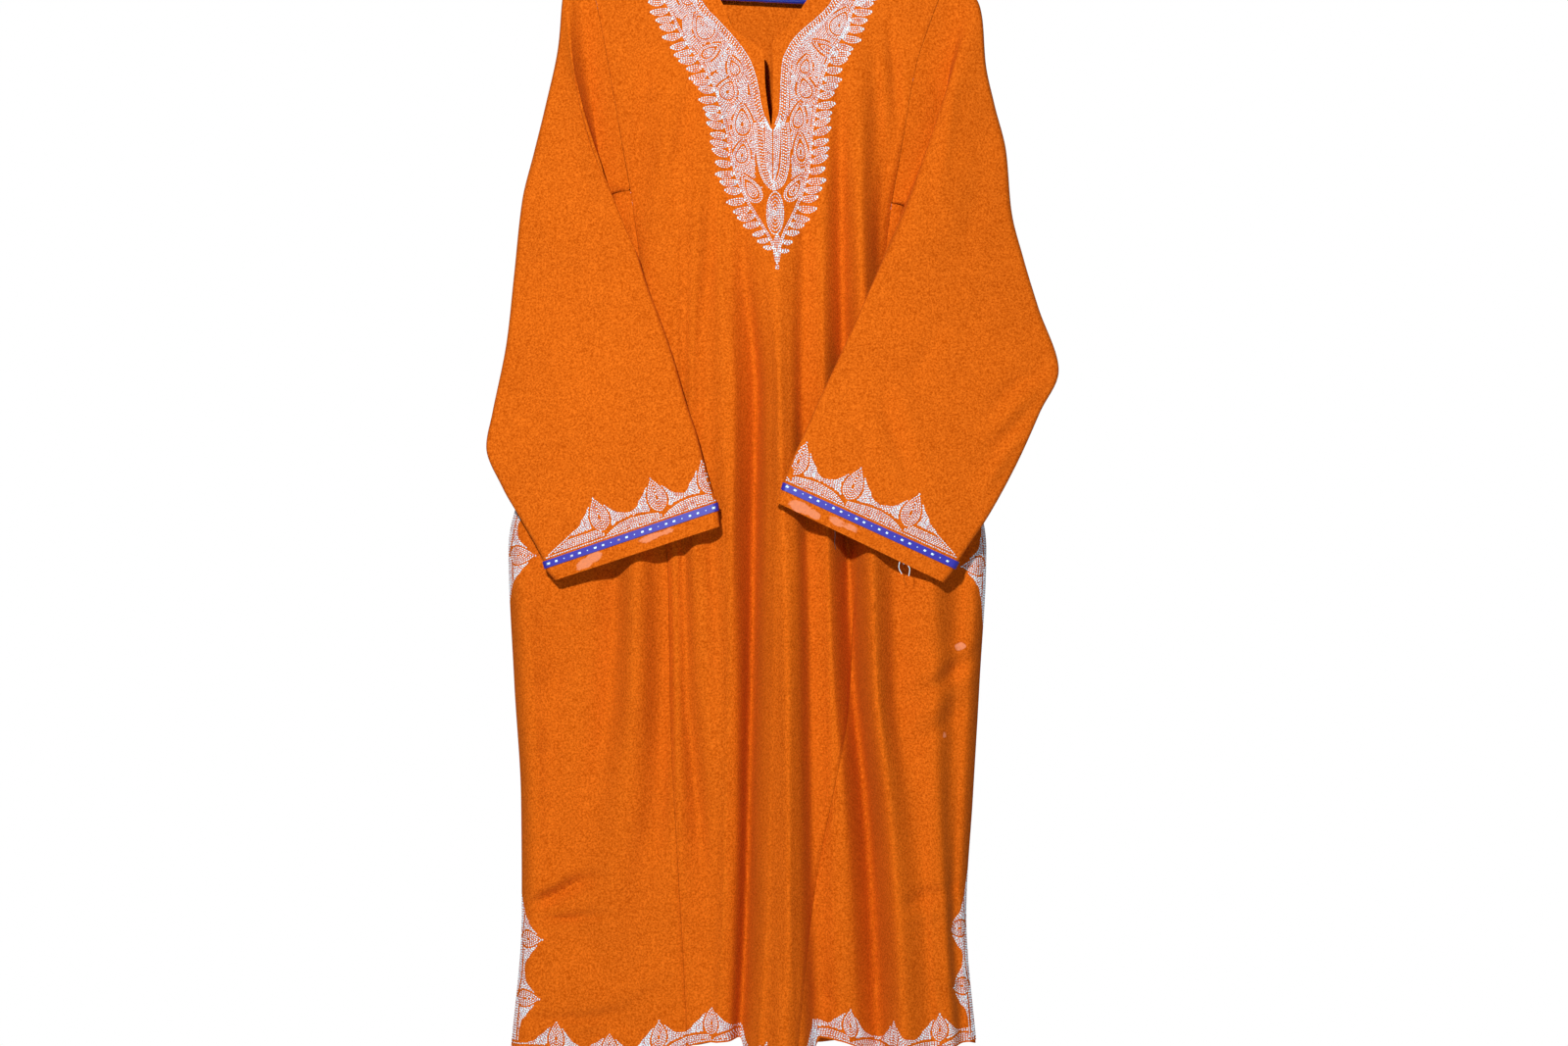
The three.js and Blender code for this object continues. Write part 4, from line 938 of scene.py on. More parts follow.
# %% Sleeve sections
SLEEVE_LEFT = [
    # outer x, drop, inner x, drop, y at both ends, radius at both ends, swell front, back, bow
    (-208, 148, -182, 380, 0, -7, 8, 5, -5, 2, 3),
    (-220, 153, -172, 393, 0, -18, 8, 5, 9, 3, 12),
    (-226, 167, -163, 409, -1, -27, 8, 5, 9, 4, 10),
    (-231, 220, -155, 425, -2, -30, 8, 5, 8, 4, 3),
    (-244, 282, -147, 441, -4, -32, 7, 5, 7, 4, 0),
    (-256, 332, -141, 460, -6, -34, 7, 5, 6, 4, 0),
    (-268, 382, -135, 478, -8, -36, 6, 5, 6, 4, 0),
    (-276, 457, -125, 504, -10, -39, 6, 5, 5, 4, 0),
    (-283, 527, -111, 544, -16, -43, 6, 5, 5, 3, 0),
    (-297, 602, -97, 592, -24, -48, 5, 5, 6, 3, 0),
    (-303, 637, -86, 625, -27, -52, 5, 5, 6, 3, 0),
    (-286, 679, -78, 655, -31, -55, 5, 5, 5, 3, 0),
    (-266, 713, -71, 679, -35, -59, 5, 5, 4, 3, 0),
    (-243, 755, -65, 695, -39, -62, 5, 5, 4, 3, 0),
    (-241, 762, -64, 703, -39, -63, 5, 5, 4, 3, 0),
    (-231, 774, -62, 719, -39, -64, 5, 5, 4, 3, 0),
]
SLEEVE_RIGHT = [
    (184, 164, 140, 394, 0, -7, 8, 5, -5, 2, -7),
    (203, 172, 125, 404, 0, -16, 8, 5, 9, 3, 0),
    (209, 194, 115, 422, -2, -28, 8, 5, 9, 4, 0),
    (212, 238, 106, 441, -4, -38, 8, 5, 8, 3, 0),
    (221, 282, 97, 462, -6, -47, 7, 5, 7, 3, 0),
    (233, 332, 87, 485, -9, -53, 7, 5, 6, 3, 0),
    (238, 392, 77, 508, -12, -55, 7, 5, 6, 3, 0),
    (250, 442, 66, 532, -16, -57, 6, 5, 6, 3, 0),
    (265, 494, 53, 560, -22, -60, 6, 5, 6, 3, 0),
    (285, 558, 38, 592, -30, -64, 5, 5, 6, 3, 0),
    (265, 602, 25, 622, -40, -69, 5, 5, 6, 3, 0),
    (243, 650, 14, 645, -46, -72, 5, 5, 6, 3, 0),
    (213, 705, 7, 663, -53, -76, 5, 5, 5, 3, 0),
    (180, 755, 3, 675, -58, -78, 5, 5, 5, 3, 0),
    (176, 762, 1, 682, -59, -79, 5, 5, 5, 3, 0),
    (165, 776, -6, 694, -60, -79, 5, 5, 4, 3, 0),
]
print("sleeve sections:", len(SLEEVE_LEFT), "left,", len(SLEEVE_RIGHT), "right")

# %% One ring of a sleeve
# Shares across the flattened tube, closer together at its two folds.
SHARE_KNOTS = [0, 0.01, 0.026, 0.052, 0.1, 0.18, 0.27, 0.36, 0.45, 0.55, 0.64, 0.73, 0.82, 0.9,
               0.948, 0.974, 0.99, 1]
HALF = 64
RING_SHARES = np.interp(np.linspace(0, 17, HALF + 1), np.arange(18), SHARE_KNOTS)


def section_ring(row):
    ox, od, ix, idrop, y0, y1, r0, r1, swell_front, swell_back, bow = row
    length = math.hypot(ix - ox, idrop - od)
    across = (-(idrop - od) / length, (ix - ox) / length)
    rings = []
    for is_front in (True, False):
        t = RING_SHARES if is_front else RING_SHARES[-2:0:-1]
        ends = (np.sqrt(1 - np.maximum(0, 1 - t * length / r0) ** 2)
                * np.sqrt(1 - np.maximum(0, 1 - (1 - t) * length / r1) ** 2))
        swell = r0 + (r1 - r0) * t + (swell_front if is_front else swell_back) * 4 * t * (1 - t)
        sway = bow * np.sin(np.pi * t)
        x = ox + (ix - ox) * t + across[0] * sway
        drop = od + (idrop - od) * t + across[1] * sway
        y = y0 + (y1 - y0) * t + (-1 if is_front else 1) * ends * swell
        rings.append(np.stack([x, y, -drop], axis=1))
    return np.concatenate(rings)


print("a ring has", 2 * HALF, "points; the cuff is",
      round(math.dist(SLEEVE_LEFT[-1][0:2], SLEEVE_LEFT[-1][2:4])), "mm wide")

# %% [markdown]
# The first ring of a sleeve has to lie in the armhole. It is read from the body's own seams,
# over the arm of the hanger, down the front and the back, and round the underarm's point, so
# the sleeve meets the panels along their whole edge.

# %% The armhole
def armhole_ring(side):
    inner, tip = UNDERARM_LEFT if side < 0 else UNDERARM_RIGHT
    tip = (tip[0] + 0.1, tip[1])
    front_table, back_table = ((SEAM_LEFT, BACK_SEAM_LEFT) if side < 0
                               else (SEAM_RIGHT, BACK_SEAM_RIGHT))
    crest, stretch = (float(v) for v in arm(front_table[1][1]))
    halves = []
    for layer, table in ((front, front_table), (back, back_table)):
        seam = line(table, side * 1.5 * EDGE_GAP)
        turn = np.radians(np.linspace(0, 90, 10))
        drop = crest - SHOULDER_RADIUS * stretch * np.cos(turn)
        y = layer.side * SHOULDER_RADIUS * np.sin(turn)
        points = [np.stack([seam(drop), y, -drop], axis=1)]
        drop = np.linspace(crest, inner[1], 40)[1:]
        x = seam(drop)
        y = cloth_depth(layer, x, drop, FRONT_CREASES if layer is front else BACK_CREASES)
        points.append(np.stack([x, y, -drop], axis=1))
        points.append(np.array([[tip[0], 0.0, -tip[1] + EDGE_GAP]]))
        points = np.concatenate(points)
        length = np.concatenate([[0], np.cumsum(np.linalg.norm(np.diff(points, axis=0), axis=1))])
        at = RING_SHARES * length[-1]
        halves.append(np.stack([np.interp(at, length, points[:, k]) for k in range(3)], axis=1))
    return np.concatenate([halves[0], halves[1][-2:0:-1]])


print("armhole rings:", armhole_ring(-1).shape, armhole_ring(1).shape)

# %% [markdown]
# Between the rings a sleeve is interpolated like a fold line, and its front gets creases of
# its own. The grid keeps the rows between which the cuff's tape lies.

# %% Both sleeves
TAPE_TOP, TAPE_FOOT = 14, 15


def sleeve_grid(side, table, creases, step=3.6):
    rings = np.array([armhole_ring(side)] + [section_ring(row) for row in table])
    between = np.linalg.norm(np.diff(rings, axis=0), axis=2).mean(axis=1)
    station = np.concatenate([[0], np.cumsum(between)])
    at = np.concatenate([np.linspace(a, b, max(2, round((b - a) / step)), endpoint=False)
                         for a, b in zip(station[:-1], station[1:])] + [station[-1:]])
    grid = smooth(station, rings.reshape(len(station), -1), at).reshape(len(at), -1, 3)
    front_half = np.zeros(grid.shape[1])
    front_half[:HALF + 1] = np.clip(np.minimum(RING_SHARES, 1 - RING_SHARES) / 0.08, 0, 1)
    reach = np.clip(at / 30.0, 0, 1)[:, None]
    grid[..., 1] += crease_depth(creases, grid[..., 0], -grid[..., 2]) * front_half * reach
    tape_rows = [int(np.argmin(np.abs(at - station[k + 1]))) for k in (TAPE_TOP - 1, TAPE_FOOT - 1)]
    return (grid if side < 0 else grid[:, ::-1]), tape_rows


left_sleeve, left_tape_rows = sleeve_grid(-1, SLEEVE_LEFT, LEFT_SLEEVE_CREASES)
right_sleeve, right_tape_rows = sleeve_grid(1, SLEEVE_RIGHT, RIGHT_SLEEVE_CREASES)
# Chalky patches where glue was wiped off below the tapes: x, drop, half length and height, tilt.
LEFT_PATCHES = [(-200, 757, 10, 5, -34), (-190, 750, 9, 5, -30), (-132, 730, 13, 3.5, -22),
                (-116, 724, 8, 3, -28)]
RIGHT_PATCHES = [(20, 700, 13, 5.5, 22), (33, 707, 7, 4, 24), (56, 714, 9, 4, 30),
                 (70, 720, 10, 2.5, 24)]
sleeve_left = shell("left_sleeve", left_sleeve, wool, loop=True,
                    stain=stain_marks(left_sleeve, LEFT_PATCHES))
sleeve_right = shell("right_sleeve", right_sleeve, wool, loop=True,
                     stain=stain_marks(right_sleeve, RIGHT_PATCHES))
print("sleeves", left_sleeve.shape, right_sleeve.shape, left_tape_rows, right_tape_rows)

# %% [markdown]
# A woven tape is sewn round each cuff. It is a ring of its own, lifted off the sleeve by the
# thickness of the tape and following the sleeve's own rows, so it bends as the cuff does.

# %% Cuff tapes
TAPE_LIFT, TAPE_WALL = 1.3, 1.0


def tape_band(name, grid, rows):
    out = grid + grid_normals(grid, True) * TAPE_LIFT
    first, last = out[rows[0]], out[rows[1]]
    band = np.array([first + (last - first) * t for t in np.linspace(0, 1, 4)])
    return shell(name, band, tape_cloth, wall=TAPE_WALL, loop=True)


tape_left = tape_band("left_cuff_tape", left_sleeve, left_tape_rows)
tape_right = tape_band("right_cuff_tape", right_sleeve, right_tape_rows)
print("tapes", len(tape_left.data.polygons), len(tape_right.data.polygons), "faces")

# %% [markdown]
# All the thread work is chain stitch in silver. A motif is a set of lines, and each line
# becomes a row of small plump stitches. It could be a bump map, but real thread stands off
# the cloth and catches the light stitch by stitch, so each stitch is a little solid here.
# Motifs on an edge have their own frame: s runs along the edge, h stands away from it.

# %% Lines that stitches follow
STITCH, ROW = 2.5, 1.7


def lengths_of(points):
    """The length of a line up to each of its points."""
    return np.concatenate([[0], np.cumsum(np.hypot(*np.diff(points, axis=0).T))])


def polyline(points, pitch=STITCH):
    """Evenly spaced stitch middles and directions along a line of points."""
    points = np.array(points, float)
    length = lengths_of(points)
    count = max(1, int(round(length[-1] / pitch)))
    at = (np.arange(count) + 0.5) * length[-1] / count
    middle = np.stack([np.interp(at, length, points[:, k]) for k in (0, 1)], axis=1)
    ahead = np.stack([np.interp(at + 0.6, length, points[:, k]) for k in (0, 1)], axis=1)
    behind = np.stack([np.interp(at - 0.6, length, points[:, k]) for k in (0, 1)], axis=1)
    return middle, ahead - behind


def curve(points, steps=8):
    """A smooth line through a few points."""
    points = np.array(points, float)
    knots = lengths_of(points)
    return smooth(knots, points, np.linspace(0, knots[-1], steps * (len(points) - 1) + 1))


print("a stitch every", STITCH, "mm, rows", ROW, "mm apart")

# %% [markdown]
# Three small motifs are used over and over. A leaf is filled from base to tip, a dot is one
# ring, and a paisley is an outline with rings inside it down to its heart.

# %% Leaf, dot and paisley
def leaf(base, tip, width, rows=4, bend=0.0):
    """A pointed leaf filled with lines that run from its base to its tip."""
    base, tip = np.array(base, float), np.array(tip, float)
    along = tip - base
    size = np.hypot(*along)
    side = np.array([-along[1], along[0]]) / size
    s = np.linspace(0, 1, 9)
    lines = []
    for f in np.linspace(-1.0, 1.0, rows):
        off = f * width / 2 * np.sin(np.pi * s ** 0.9) ** 0.65 + bend * size * np.sin(np.pi * s)
        lines.append(base + np.outer(s, along) + np.outer(off, side))
    return lines


def dot(centre, radius=1.4):
    turn = np.linspace(0, 2 * np.pi, 7)
    return [np.array(centre) + radius * np.stack([np.cos(turn), np.sin(turn)], axis=1)]


def paisley(centre, width, height, tilt, hook=0.22, gap=1.75):
    """A paisley: an outline, a thin bare line inside it, then rings down to its heart."""
    lean = math.radians(tilt)
    up = np.array([math.sin(lean), -math.cos(lean)])
    across = np.array([up[1], -up[0]])
    turn = np.linspace(0, 2 * np.pi, 25)
    rise = 0.5 - 0.5 * np.cos(turn)
    wide = np.sin(turn) * (1 - 0.6 * rise ** 1.5)
    sway = hook * rise ** 2.5
    lines, half, share = [], width / 2, 1.0
    while half * share > 0.9:
        line_points = (np.outer((rise - 0.42) * share * height, up)
                       + np.outer((wide * share + sway * share) * half, across))
        lines.append(np.array(centre) + line_points)
        share -= (gap if len(lines) != 2 else gap + 1.1) / half
    return lines


print("a paisley 20 mm wide has", len(paisley((0, 0), 20, 30, 0)), "rings")

# %% [markdown]
# Cuffs, hem, side slits and pocket mouths carry one border: a solid band against the edge
# that swells up into a pointed bud at each repeat. Its stitches run along the band in rows
# that copy the outline, a bare line parts them from bud to bud, and each bud holds a heart of
# rings. Filling an outline with its own copies is how such a border is embroidered, too.

# %% The border
# One repeat: heights of the outline about a bud's tip, and of the bare line that starts at
# the bud's foot and rises along the band to the next bud.
PROFILE = np.array([(-31, 17), (-26, 18), (-21, 21), (-18, 25.5), (-16, 26.5), (-12, 30),
                    (-8, 35), (-5, 36.5), (-2.5, 40), (0, 44), (3, 39), (7, 34.5), (11, 29.5),
                    (15, 24.5), (19, 21), (24, 19), (31, 17)], float)
PARTING = np.array([(0, 3), (8, 7.5), (18, 11), (30, 12.5), (42, 11.5), (54, 9.5), (62, 8)],
                   float)
BUD_FOOT, BUD_TOP, BUD_WIDTH = 9.0, 42.0, 18.0
BAND, BAND_PARTING = 16.0, 12.0


def runs(s, h, keep):
    """The stretches of a line that are kept, as lines of their own."""
    marks = np.flatnonzero(np.diff(np.concatenate([[0], keep.astype(int), [0]])))
    return [np.stack([s[i:j], h[i:j]], axis=1)
            for i, j in zip(marks[::2], marks[1::2]) if j - i >= 3]


def heart(t, width):
    """Half the width of a bud's heart, from its foot (0) to its tip (1)."""
    return width / 2 * np.sin(np.pi * np.clip(t, 0, 1) ** 0.72) ** 0.85


def border(start, end, buds, reach=1.0, tapers=(0.0, 0.0), flip=False, low=1.0):
    """The lines of a border from start to end, with a bud at each of buds. reach scales its
    height, tapers are the lengths over which its ends thin out, and flip turns the buds'
    slant round."""
    s = np.arange(start, end + 0.01, 0.9)
    outline, parting = np.full(s.shape, BAND), np.full(s.shape, BAND_PARTING)
    for tip in sorted(buds, reverse=flip):
        d = (tip - s) if flip else (s - tip)
        height = np.interp(d, PROFILE[:, 0], PROFILE[:, 1], left=BAND, right=BAND)
        outline = np.maximum(outline, height)
        parting = np.where(d >= 0, np.interp(d, PARTING[:, 0], PARTING[:, 1]), parting)
    fade = np.ones(s.shape)
    if tapers[0]:
        fade = np.minimum(fade, np.clip((s - start) / tapers[0], 0.02, 1))
    if tapers[1]:
        fade = np.minimum(fade, np.clip((end - s) / tapers[1], 0.02, 1))
    outline, parting = low + (outline * reach - low) * fade, parting * reach
    foot, top, width = BUD_FOOT * reach, BUD_TOP * reach, BUD_WIDTH * reach

    def clear(h):
        free = np.ones(s.shape, bool)
        for tip in buds:
            t = (h - foot) / (top - foot)
            free &= (np.abs(s - tip) > heart(t, width) + 2.1) | (t < -0.06) | (t > 1.0)
        return free

    lines = runs(s, np.full(s.shape, low), outline > low)
    for k in range(26):
        h = outline - ROW * k
        lines += runs(s, h, (h > low + 1.2) & ((h > parting + 1.6) | (k == 0)) & clear(h))
        h = parting - 1.3 - ROW * k
        lines += runs(s, h, (h > low + 1.2) & (h < outline - 1.2) & clear(h))
    for tip in buds:
        for share in np.arange(1.0, 0.1, -ROW * 2 / width):
            t = np.concatenate([np.linspace(0, 1, 13), np.linspace(1, 0, 13)[1:]])
            ring_s = tip + np.concatenate([-heart(t[:13], width), heart(t[13:], width)]) * share
            ring_h = foot + (top - foot) * (0.42 + (t - 0.42) * share)
            inside = (ring_s > start - 0.5) & (ring_s < end + 0.5)
            lines += runs(ring_s, ring_h, inside)
    return lines


print("a border 100 mm long with two buds has", len(border(0, 100, (25, 75))), "lines")

# %% [markdown]
# The needlework is laid on the cloth by rays: each stitch starts off the garment, falls on to
# it and takes the slope of the face it hits, so a motif drawn flat follows every fold. A
# Shrinkwrap modifier does the same for a mesh, and rays do it for thousands of loose stitches
# at once. Hand work is never even, so each stitch is nudged and toned a little by chance.

# %% Laying stitches on cloth
class Needlework:
    """Collects stitches and lays them on one set of cloth pieces, seen from one side."""

    def __init__(self, cloths, side=-1):
        self.side = side
        points, faces, base = [], [], 0
        for cloth in cloths:
            mesh = cloth.data
            co = np.empty(len(mesh.vertices) * 3)
            mesh.vertices.foreach_get("co", co)
            points.append(co.reshape(-1, 3))
            faces += [[v + base for v in p.vertices] for p in mesh.polygons]
            base += len(mesh.vertices)
        self.tree = BVHTree.FromPolygons(np.concatenate(points).tolist(), faces)
        self.parts = []

    def sew(self, lines, place=None, width=1.62, pitch=STITCH, height=0.42, tone=0.16,
            jitter=0.10):
        for points in lines:
            line_tone = tone + rng.normal(0, 0.12)
            points = np.asarray(points, float)
            if place is not None:
                points = np.array([place(s, h) for s, h in points])
            middle, ahead = polyline(points, pitch)
            for (x, drop), (dx, dd) in zip(middle, ahead):
                x += rng.normal(0, jitter)
                drop += rng.normal(0, jitter)
                hit, normal, _, _ = self.tree.ray_cast(
                    Vector((x * MM, self.side * 0.3, -drop * MM)),
                    Vector((0, -self.side, 0)), 0.6)
                if hit is None or abs(normal.y) < 0.12:
                    continue
                half_length = pitch * 0.56 * MM * rng.uniform(0.9, 1.1)
                own_tone = min(1.0, max(0.0, line_tone + rng.normal(0, 0.3)))
                self.parts.append((*hit, *normal, dx, -dd, half_length, width / 2 * MM,
                                   height * MM, own_tone))

    def finish(self, name, material):
        """One mesh of all the stitches: each is a slanted pyramid with four sides."""
        data = np.array(self.parts)
        centre, normal = data[:, 0:3], unit(data[:, 3:6])
        normal = normal * np.sign(normal[:, 1:2] * self.side)
        lift = -(data[:, 6] * normal[:, 0] + data[:, 7] * normal[:, 2]) / normal[:, 1]
        run = unit(np.stack([data[:, 6], lift, data[:, 7]], axis=1))
        across = np.cross(normal, run)
        half, wide, high = data[:, 8:9], data[:, 9:10], data[:, 10:11]
        foot = centre - normal * 0.12 * MM
        corners = np.stack([foot + run * half * a + across * wide * b for a, b in
                            ((-0.95, -0.75), (0.65, -0.95), (0.95, 0.75), (-0.65, 0.95))]
                           + [centre + normal * high], axis=1)
        pattern = [(0, 1, 4), (1, 2, 4), (2, 3, 4), (3, 0, 4)]
        start = np.arange(len(data)) * 5
        triangles = np.concatenate([start[:, None] + np.array(p) for p in pattern])
        soles = start[:, None] + np.array((0, 3, 2, 1))
        faces = triangles.tolist() + soles.tolist()
        piece = add_mesh(name, corners.reshape(-1, 3), faces, material,
                         marks={"tone": np.repeat(data[:, 11], 5)}, sharp=None)
        print(name, len(data), "stitches")
        return piece


# %% [markdown]
# The thread is a silky off-white. Each stitch's tone mixes it with the rust of the cloth that
# shows between the strands, and a trace of emission stands for the light that silk scatters
# back; a lamp strong enough to do that would burn out the wool.

# %% Thread
THREAD_LIGHT, THREAD_DARK = (0.70, 0.92, 1.0, 1.0), (0.42, 0.16, 0.19, 1.0)


def thread_material():
    material, tree, shader = node_material("silver_thread")
    attribute = tree.nodes.new("ShaderNodeAttribute")
    attribute.attribute_name = "tone"
    colour = mix(tree, attribute.outputs["Fac"], THREAD_LIGHT, THREAD_DARK)
    tree.links.new(colour, shader.inputs["Base Color"])
    shader.inputs["Roughness"].default_value = 0.34
    shader.inputs["Specular IOR Level"].default_value = 0.8
    shader.inputs["Emission Color"].default_value = (0.40, 0.75, 1.0, 1.0)
    shader.inputs["Emission Strength"].default_value = 0.17
    return material


silver = thread_material()
print("thread:", len(silver.node_tree.nodes), "nodes")

# %% [markdown]
# Now the neck. Its motifs are drawn on a pattern sheet of their own, as an embroiderer pricks
# one out, in millimetres across (u) and down (v). Chain lines and a ladder of short cross
# stitches follow the opening on both sides.

# %% Chain and ladder along the opening
SHEET_X, SHEET_DROP = 797.0, 182.0
CHAIN_LINES, LADDER, LADDER_PITCH = (2.0, 8.6, 10.2), (2.8, 7.8), 3.3


def spot(u, v):
    """A place on the pattern sheet as a place on the garment, across and down."""
    return (u - SHEET_X, v + SHEET_DROP)


def offset(points, distance):
    """A line moved sideways by a distance."""
    points = np.array(points, float)
    along = unit(np.gradient(points, axis=0))
    return points + np.stack([along[:, 1], -along[:, 0]], axis=1) * distance


def point_at(at, marks, points):
    """The place at a mark along a line, where marks holds each point's own mark."""
    return [np.interp(at, marks, points[:, k]) for k in (0, 1)]


neck_work = Needlework([front_panel])
neck_drops = np.linspace(116, SLIT_FOOT - 3, 90)
edge_left = np.stack([line(BAND_LEFT)(neck_drops), neck_drops], axis=1)
neck_drops = np.linspace(124, SLIT_FOOT - 3, 90)
edge_right = np.stack([line(BAND_RIGHT)(neck_drops), neck_drops], axis=1)
for edge, turn in ((edge_left, -1), (edge_right, 1)):
    for distance in CHAIN_LINES:
        neck_work.sew([offset(edge, turn * distance)])
    inner, outer = (offset(edge, turn * distance) for distance in LADDER)
    length = lengths_of(inner)
    for at in np.arange(1.0, length[-1], LADDER_PITCH):
        rung = [point_at(at, length, inner), point_at(at + 2.6, length, outer)]
        neck_work.sew([rung], pitch=2.7, width=2.0, tone=0.0)
print("stitches so far:", len(neck_work.parts))

# %% [markdown]
# Below the slit both bands close in a U. The same ladder runs round it, and short slanting
# stitches from a middle line fill the inside like the veins of a leaf.

# %% The U below the slit
U_LINE = curve([spot(*p) for p in ((770, 122), (771, 140), (774, 168), (781, 186), (790, 193),
                                   (800, 186), (805, 166), (806, 140), (804, 122))])
U_MARKS = np.arange(len(U_LINE))
for distance in (0.0, 1.6, 8.0):
    neck_work.sew([offset(U_LINE, distance)])
for at in np.linspace(0, 1, 48):
    k = at * (len(U_LINE) - 1)
    rung = [point_at(k, U_MARKS, offset(U_LINE, 2.6)),
            point_at(k + 0.8, U_MARKS, offset(U_LINE, 7.0))]
    neck_work.sew([rung], pitch=2.4, width=1.9, tone=0.0)
VEINS, VEIN_TOP, VEIN_STEP, VEIN_SLANT = 34, 116.0, 2.0, 4.0
U_MIDDLE, U_HALF, SLIT_END = 788.5, 8.2, 131.0
for k in range(VEINS):
    v = VEIN_TOP + k * VEIN_STEP
    half = U_HALF * math.sqrt(max(0.05, 1.0 - (max(0.0, v - 130.0) / 53.0) ** 2))
    foot = max(v + VEIN_SLANT, SLIT_END)
    for turn in (-1, 1):
        root = turn * max(0.6, (SLIT_END - v - VEIN_SLANT) * 0.16)
        neck_work.sew([[spot(U_MIDDLE + root, foot), spot(U_MIDDLE + turn * half, v)]],
                      pitch=2.3, width=1.7)
print("stitches so far:", len(neck_work.parts))

# %% [markdown]
# A stem runs down each outer side to the point of the motif, and small slanting leaves grow
# from it, one after another. They are placed by their distance along the stem, so they keep
# even steps where it bends, and they shrink towards the point.

# %% Stems and their leaves
STEM_LEFT = curve([spot(*p) for p in (
    (655, -54), (664, -32), (681, 0), (690, 20), (703, 42), (717, 62), (728, 83), (735, 105),
    (742, 132), (746, 158), (751, 176), (762, 202), (777, 228), (787, 246), (793, 262))])
STEM_RIGHT = curve([spot(*p) for p in (
    (905, -48), (887, -24), (872, 0), (864, 23), (850, 46), (840, 73), (833, 100), (829, 130),
    (826, 163), (822, 184), (812, 212), (800, 238), (793, 262))])
LEAF_STEP, LEAF_LENGTH, LEAF_WIDTH = 9.8, 20.0, 6.6
for stem, turn in ((STEM_LEFT, -1), (STEM_RIGHT, 1)):
    neck_work.sew([offset(stem, turn * d) for d in (-0.8, 0.8)])
    length = lengths_of(stem)
    for n, at in enumerate(np.arange(5.0, length[-1] - 3.0, LEAF_STEP)):
        root = np.array(point_at(at, length, stem))
        ahead = np.array(point_at(at + 2, length, stem)) - root
        down = math.atan2(ahead[1], ahead[0] * turn)
        angle = down - math.radians(112 + 6 * math.sin(n * 1.7))
        near_foot = min(1.0, 0.45 + (length[-1] - at) / 90.0)
        reach = (LEAF_LENGTH + 1.5 * math.sin(n * 2.3)) * near_foot
        tip = root + reach * np.array([turn * math.cos(angle), math.sin(angle)])
        neck_work.sew(leaf(root + (tip - root) * 0.05, tip, LEAF_WIDTH * near_foot,
                           bend=turn * 0.06), tone=0.1)
print("stitches so far:", len(neck_work.parts))

# %% [markdown]
# Between the stem and the band lie paisleys of different sizes, each leaning its own way.
# Their outlines are kept, because the ground between them is filled with lines that echo
# them, the way ripples spread round stones.

# %% Paisleys
# centre across and down on the sheet, width, height and tilt
PAISLEYS = [(718, 24, 29, 33, -38), (722, 49, 18, 26, 62), (749, 66, 18, 24, -28),
            (742, 90, 25, 26, 30), (757, 124, 25, 36, -10), (757, 156, 21, 27, 16),
            (767, 193, 19, 33, -36), (857, 20, 28, 33, 36), (844, 45, 15, 28, -64),
            (822, 64, 18, 22, 22), (822, 88, 22, 28, -22), (815, 119, 19, 31, 14),
            (817, 153, 17, 34, -8), (810, 193, 17, 31, 36), (699, -10, 22, 30, -38),
            (681, -36, 20, 30, -36), (878, -12, 22, 28, 38), (893, -38, 20, 26, 38)]
OUTLINES = []
for u, v, width, height, tilt in PAISLEYS:
    shape = paisley(spot(u, v), width, height, tilt, hook=0.25 if tilt > 0 else -0.25)
    OUTLINES.append(polyline(shape[0], 1.2)[0])
    neck_work.sew(shape, pitch=2.3)
print("stitches so far:", len(neck_work.parts))

# %% [markdown]
# The ground lines are grown outwards from every paisley, ring by ring. A stitch is kept where
# it lies inside the motif, off all the outlines, and nearest to the paisley it grew from, so
# that the rings of neighbours meet and never cross.

# %% The ground between the paisleys
MOTIF_TOP, MOTIF_NARROW, MOTIF_FOOT = 128, 371, 384
MOTIF_MIDDLE = 793


def band_x(drop, turn):
    """Where the neck band's outer side is, at a drop."""
    if drop < SLIT_FOOT - 12:
        edge = edge_left if turn < 0 else edge_right
        return float(np.interp(drop, edge[:, 1], edge[:, 0])) + turn * 11.5
    return -26.5 if turn < 0 else 10.5


def ground(point, turn):
    """Whether the bare cloth at a point is covered by the ground between the paisleys."""
    x, drop = point
    stem = STEM_LEFT if turn < 0 else STEM_RIGHT
    outer = float(np.interp(drop, stem[:, 1], stem[:, 0])) - turn * 2.0
    inner = band_x(drop, turn)
    if drop > MOTIF_FOOT or drop < MOTIF_TOP:
        return False
    if drop > MOTIF_NARROW:
        inner = -19.0 if turn < 0 else 7.0
    return (outer < x < inner) if turn < 0 else (inner < x < outer)


def nearest_outline(point):
    """The paisley nearest to a point and the distance to its outline, negative inside it."""
    best = (0, 1e9)
    for n, rim in enumerate(OUTLINES):
        far = float(np.hypot(*(rim - point).T).min())
        if far < 14:
            x, y = rim[:, 0], rim[:, 1]
            above = (y > point[1]) != (np.roll(y, -1) > point[1])
            rise = np.where(above, np.roll(y, -1) - y, 1)
            cross = x + (point[1] - y) / rise * (np.roll(x, -1) - x)
            if (above & (point[0] < cross)).sum() % 2:
                far = -far
        if far < best[1]:
            best = (n, far)
    return best


for n, (u, v, width, height, tilt) in enumerate(PAISLEYS):
    turn = -1 if u < MOTIF_MIDDLE else 1
    for step in range(8):
        grow = 2.3 + step * 1.75
        rim = paisley(spot(u, v), width + 2 * grow, height + 2 * grow, tilt,
                      hook=0.2 if tilt > 0 else -0.2)[0]
        middle, ahead = polyline(rim, 2.3)
        for point, run in zip(middle, ahead):
            owner, far = nearest_outline(point) if ground(point, turn) else (0, 0)
            if far > 1.9 and owner == n:
                half = unit(run) * 1.1
                neck_work.sew([[point - half, point + half]], pitch=2.2)
print("stitches so far:", len(neck_work.parts))

